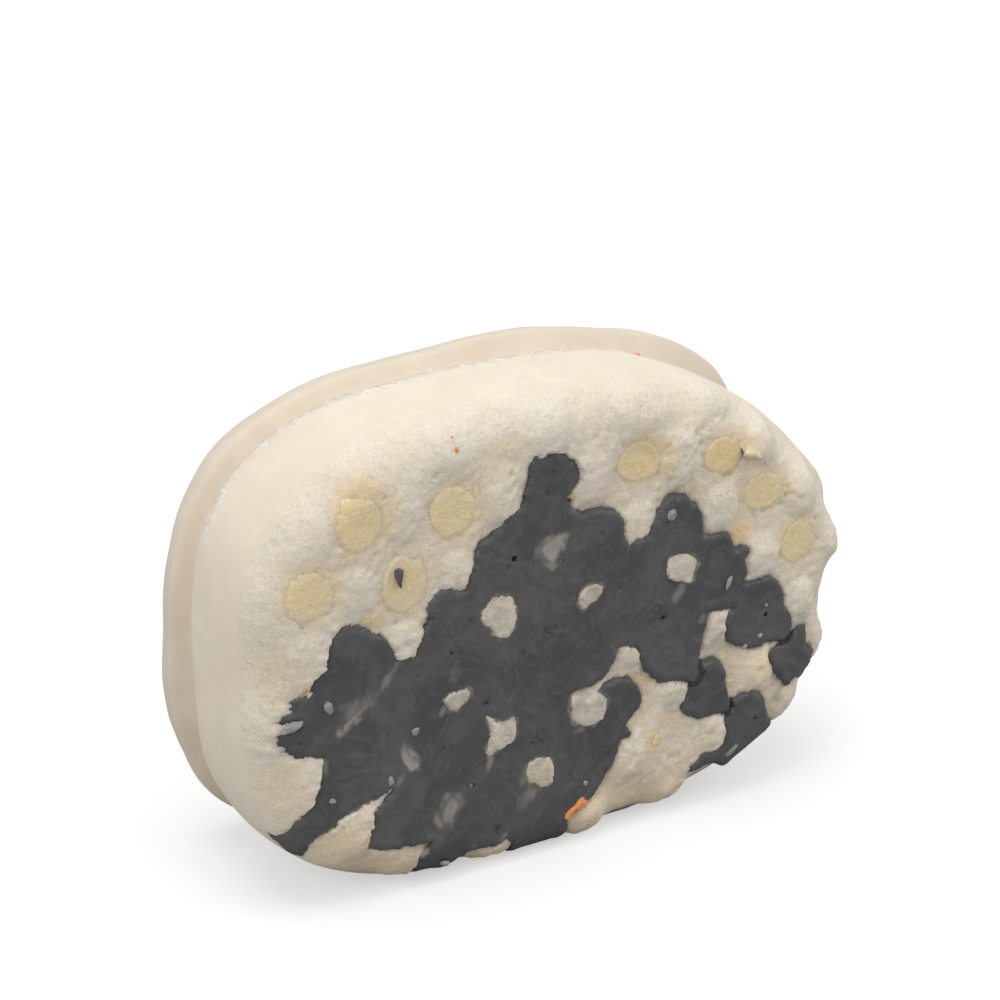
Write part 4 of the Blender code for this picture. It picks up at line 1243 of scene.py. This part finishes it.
class SPONGE_OT_core(bpy.types.Operator):
    """Make the cream soap block in the back"""

    bl_idname = "sponge.make_core"
    bl_label = "Cream Soap Core"

    def execute(self, context):
        make_core(settings()[1])
        return {"FINISHED"}


class SPONGE_OT_charcoal(bpy.types.Operator):
    """Make the charcoal soap poured over the face, its islands and its speck"""

    bl_idname = "sponge.make_charcoal"
    bl_label = "Charcoal Soap"

    def execute(self, context):
        s, c = settings()
        look = charcoal_material(c)
        sheet = shared_sheet(s)
        make_film("charcoal_pour", 0, s, look, ["charcoal_soap_pour"], sheet)
        for number in range(1, len(ISLAND_OUTLINES) + 1):
            make_film(f"charcoal_island_{number}", number, s, look,
                      [f"charcoal_soap_island_{number}"], sheet)
        make_lump("charcoal_speck", (-35.6, 18.0, 0.10), (0.9, 0.5, 1.9), 3.3, s, look,
                  ["charcoal_soap_speck"], turn=8, taper=0.55)
        return {"FINISHED"}


class SPONGE_OT_pools(bpy.types.Operator):
    """Make the clear yellow soap set in the pockets"""

    bl_idname = "sponge.make_pools"
    bl_label = "Clear Soap Pools"

    def execute(self, context):
        s, c = settings()
        look = foam_material(c, "clear_soap_look", POOL_GLOW, c.pool)
        for number, (cell, sink) in enumerate(POOLS, 1):
            make_pool(number, cell, sink, s, look, shared_sheet(s))
        return {"FINISHED"}


class SPONGE_OT_chips(bpy.types.Operator):
    """Make the pale crumbs and the orange fleck"""

    bl_idname = "sponge.make_chips"
    bl_label = "Crumbs and Flecks"

    def execute(self, context):
        s, c = settings()
        pale = soap_material("pale_soap_look", tuple(c.crumb), tuple(v * 1.15 for v in c.crumb),
                             0.45)
        orange = soap_material("orange_soap_look", tuple(c.fleck), (1.0, 0.36, 0.12), 0.4)
        for number, (name, place, size, turn, node) in enumerate(CRUMBS, 1):
            make_lump(name, place, size, number * 1.7, s, pale,
                      [node] if node else [], turn=turn)
        make_lump("orange_chip", (1.6, -36.2, 0.9), (2.7, 0.8, 1.0), 7.7, s, orange,
                  ["orange_fleck"], turn=33, waist=0.45)
        for number, (place, size, seed) in enumerate(ORANGE_SPECKS, 1):
            make_lump(f"orange_speck_{number}", place, size, seed, s, orange, [])
        return {"FINISHED"}


class SPONGE_OT_stage(bpy.types.Operator):
    """Make the pale floor, the soft studio light and the camera"""

    bl_idname = "sponge.make_stage"
    bl_label = "Stage"

    def execute(self, context):
        scene = context.scene
        make_floor(scene)
        make_world(scene)
        for lamp in LAMPS:
            make_lamp(scene, *lamp)
        make_camera(scene)
        scene.view_settings.view_transform = "Standard"
        return {"FINISHED"}


class SPONGE_PT_panel(bpy.types.Panel):
    """Lists the sponge's pieces, sizes and colours"""

    bl_label = "Soap Sponge"
    bl_idname = "SPONGE_PT_panel"
    bl_space_type = "VIEW_3D"
    bl_region_type = "UI"
    bl_category = "Sponge"

    def draw(self, context):
        for operator in OPERATORS:
            self.layout.operator(operator.bl_idname)
        for owner in settings():
            column = self.layout.column()
            for name in owner.__annotations__:
                column.prop(owner, name)


OPERATORS = (SPONGE_OT_foam, SPONGE_OT_core, SPONGE_OT_charcoal, SPONGE_OT_pools,
             SPONGE_OT_chips, SPONGE_OT_stage)
CLASSES = (SpongeSizes, SpongeColours, *OPERATORS, SPONGE_PT_panel)


def register():
    """Add the sponge's classes and settings to Blender."""
    for cls in CLASSES:
        bpy.utils.register_class(cls)
    bpy.types.Scene.sponge_sizes = bpy.props.PointerProperty(type=SpongeSizes)
    bpy.types.Scene.sponge_colours = bpy.props.PointerProperty(type=SpongeColours)


def unregister():
    """Take the sponge's classes and settings out again."""
    del bpy.types.Scene.sponge_colours
    del bpy.types.Scene.sponge_sizes
    for cls in reversed(CLASSES):
        bpy.utils.unregister_class(cls)


def main():
    """Make every piece and the stage."""
    register()
    bpy.ops.sponge.make_foam()
    bpy.ops.sponge.make_core()
    bpy.ops.sponge.make_charcoal()
    bpy.ops.sponge.make_pools()
    bpy.ops.sponge.make_chips()
    bpy.ops.sponge.make_stage()


if __name__ == "__main__":
    main()
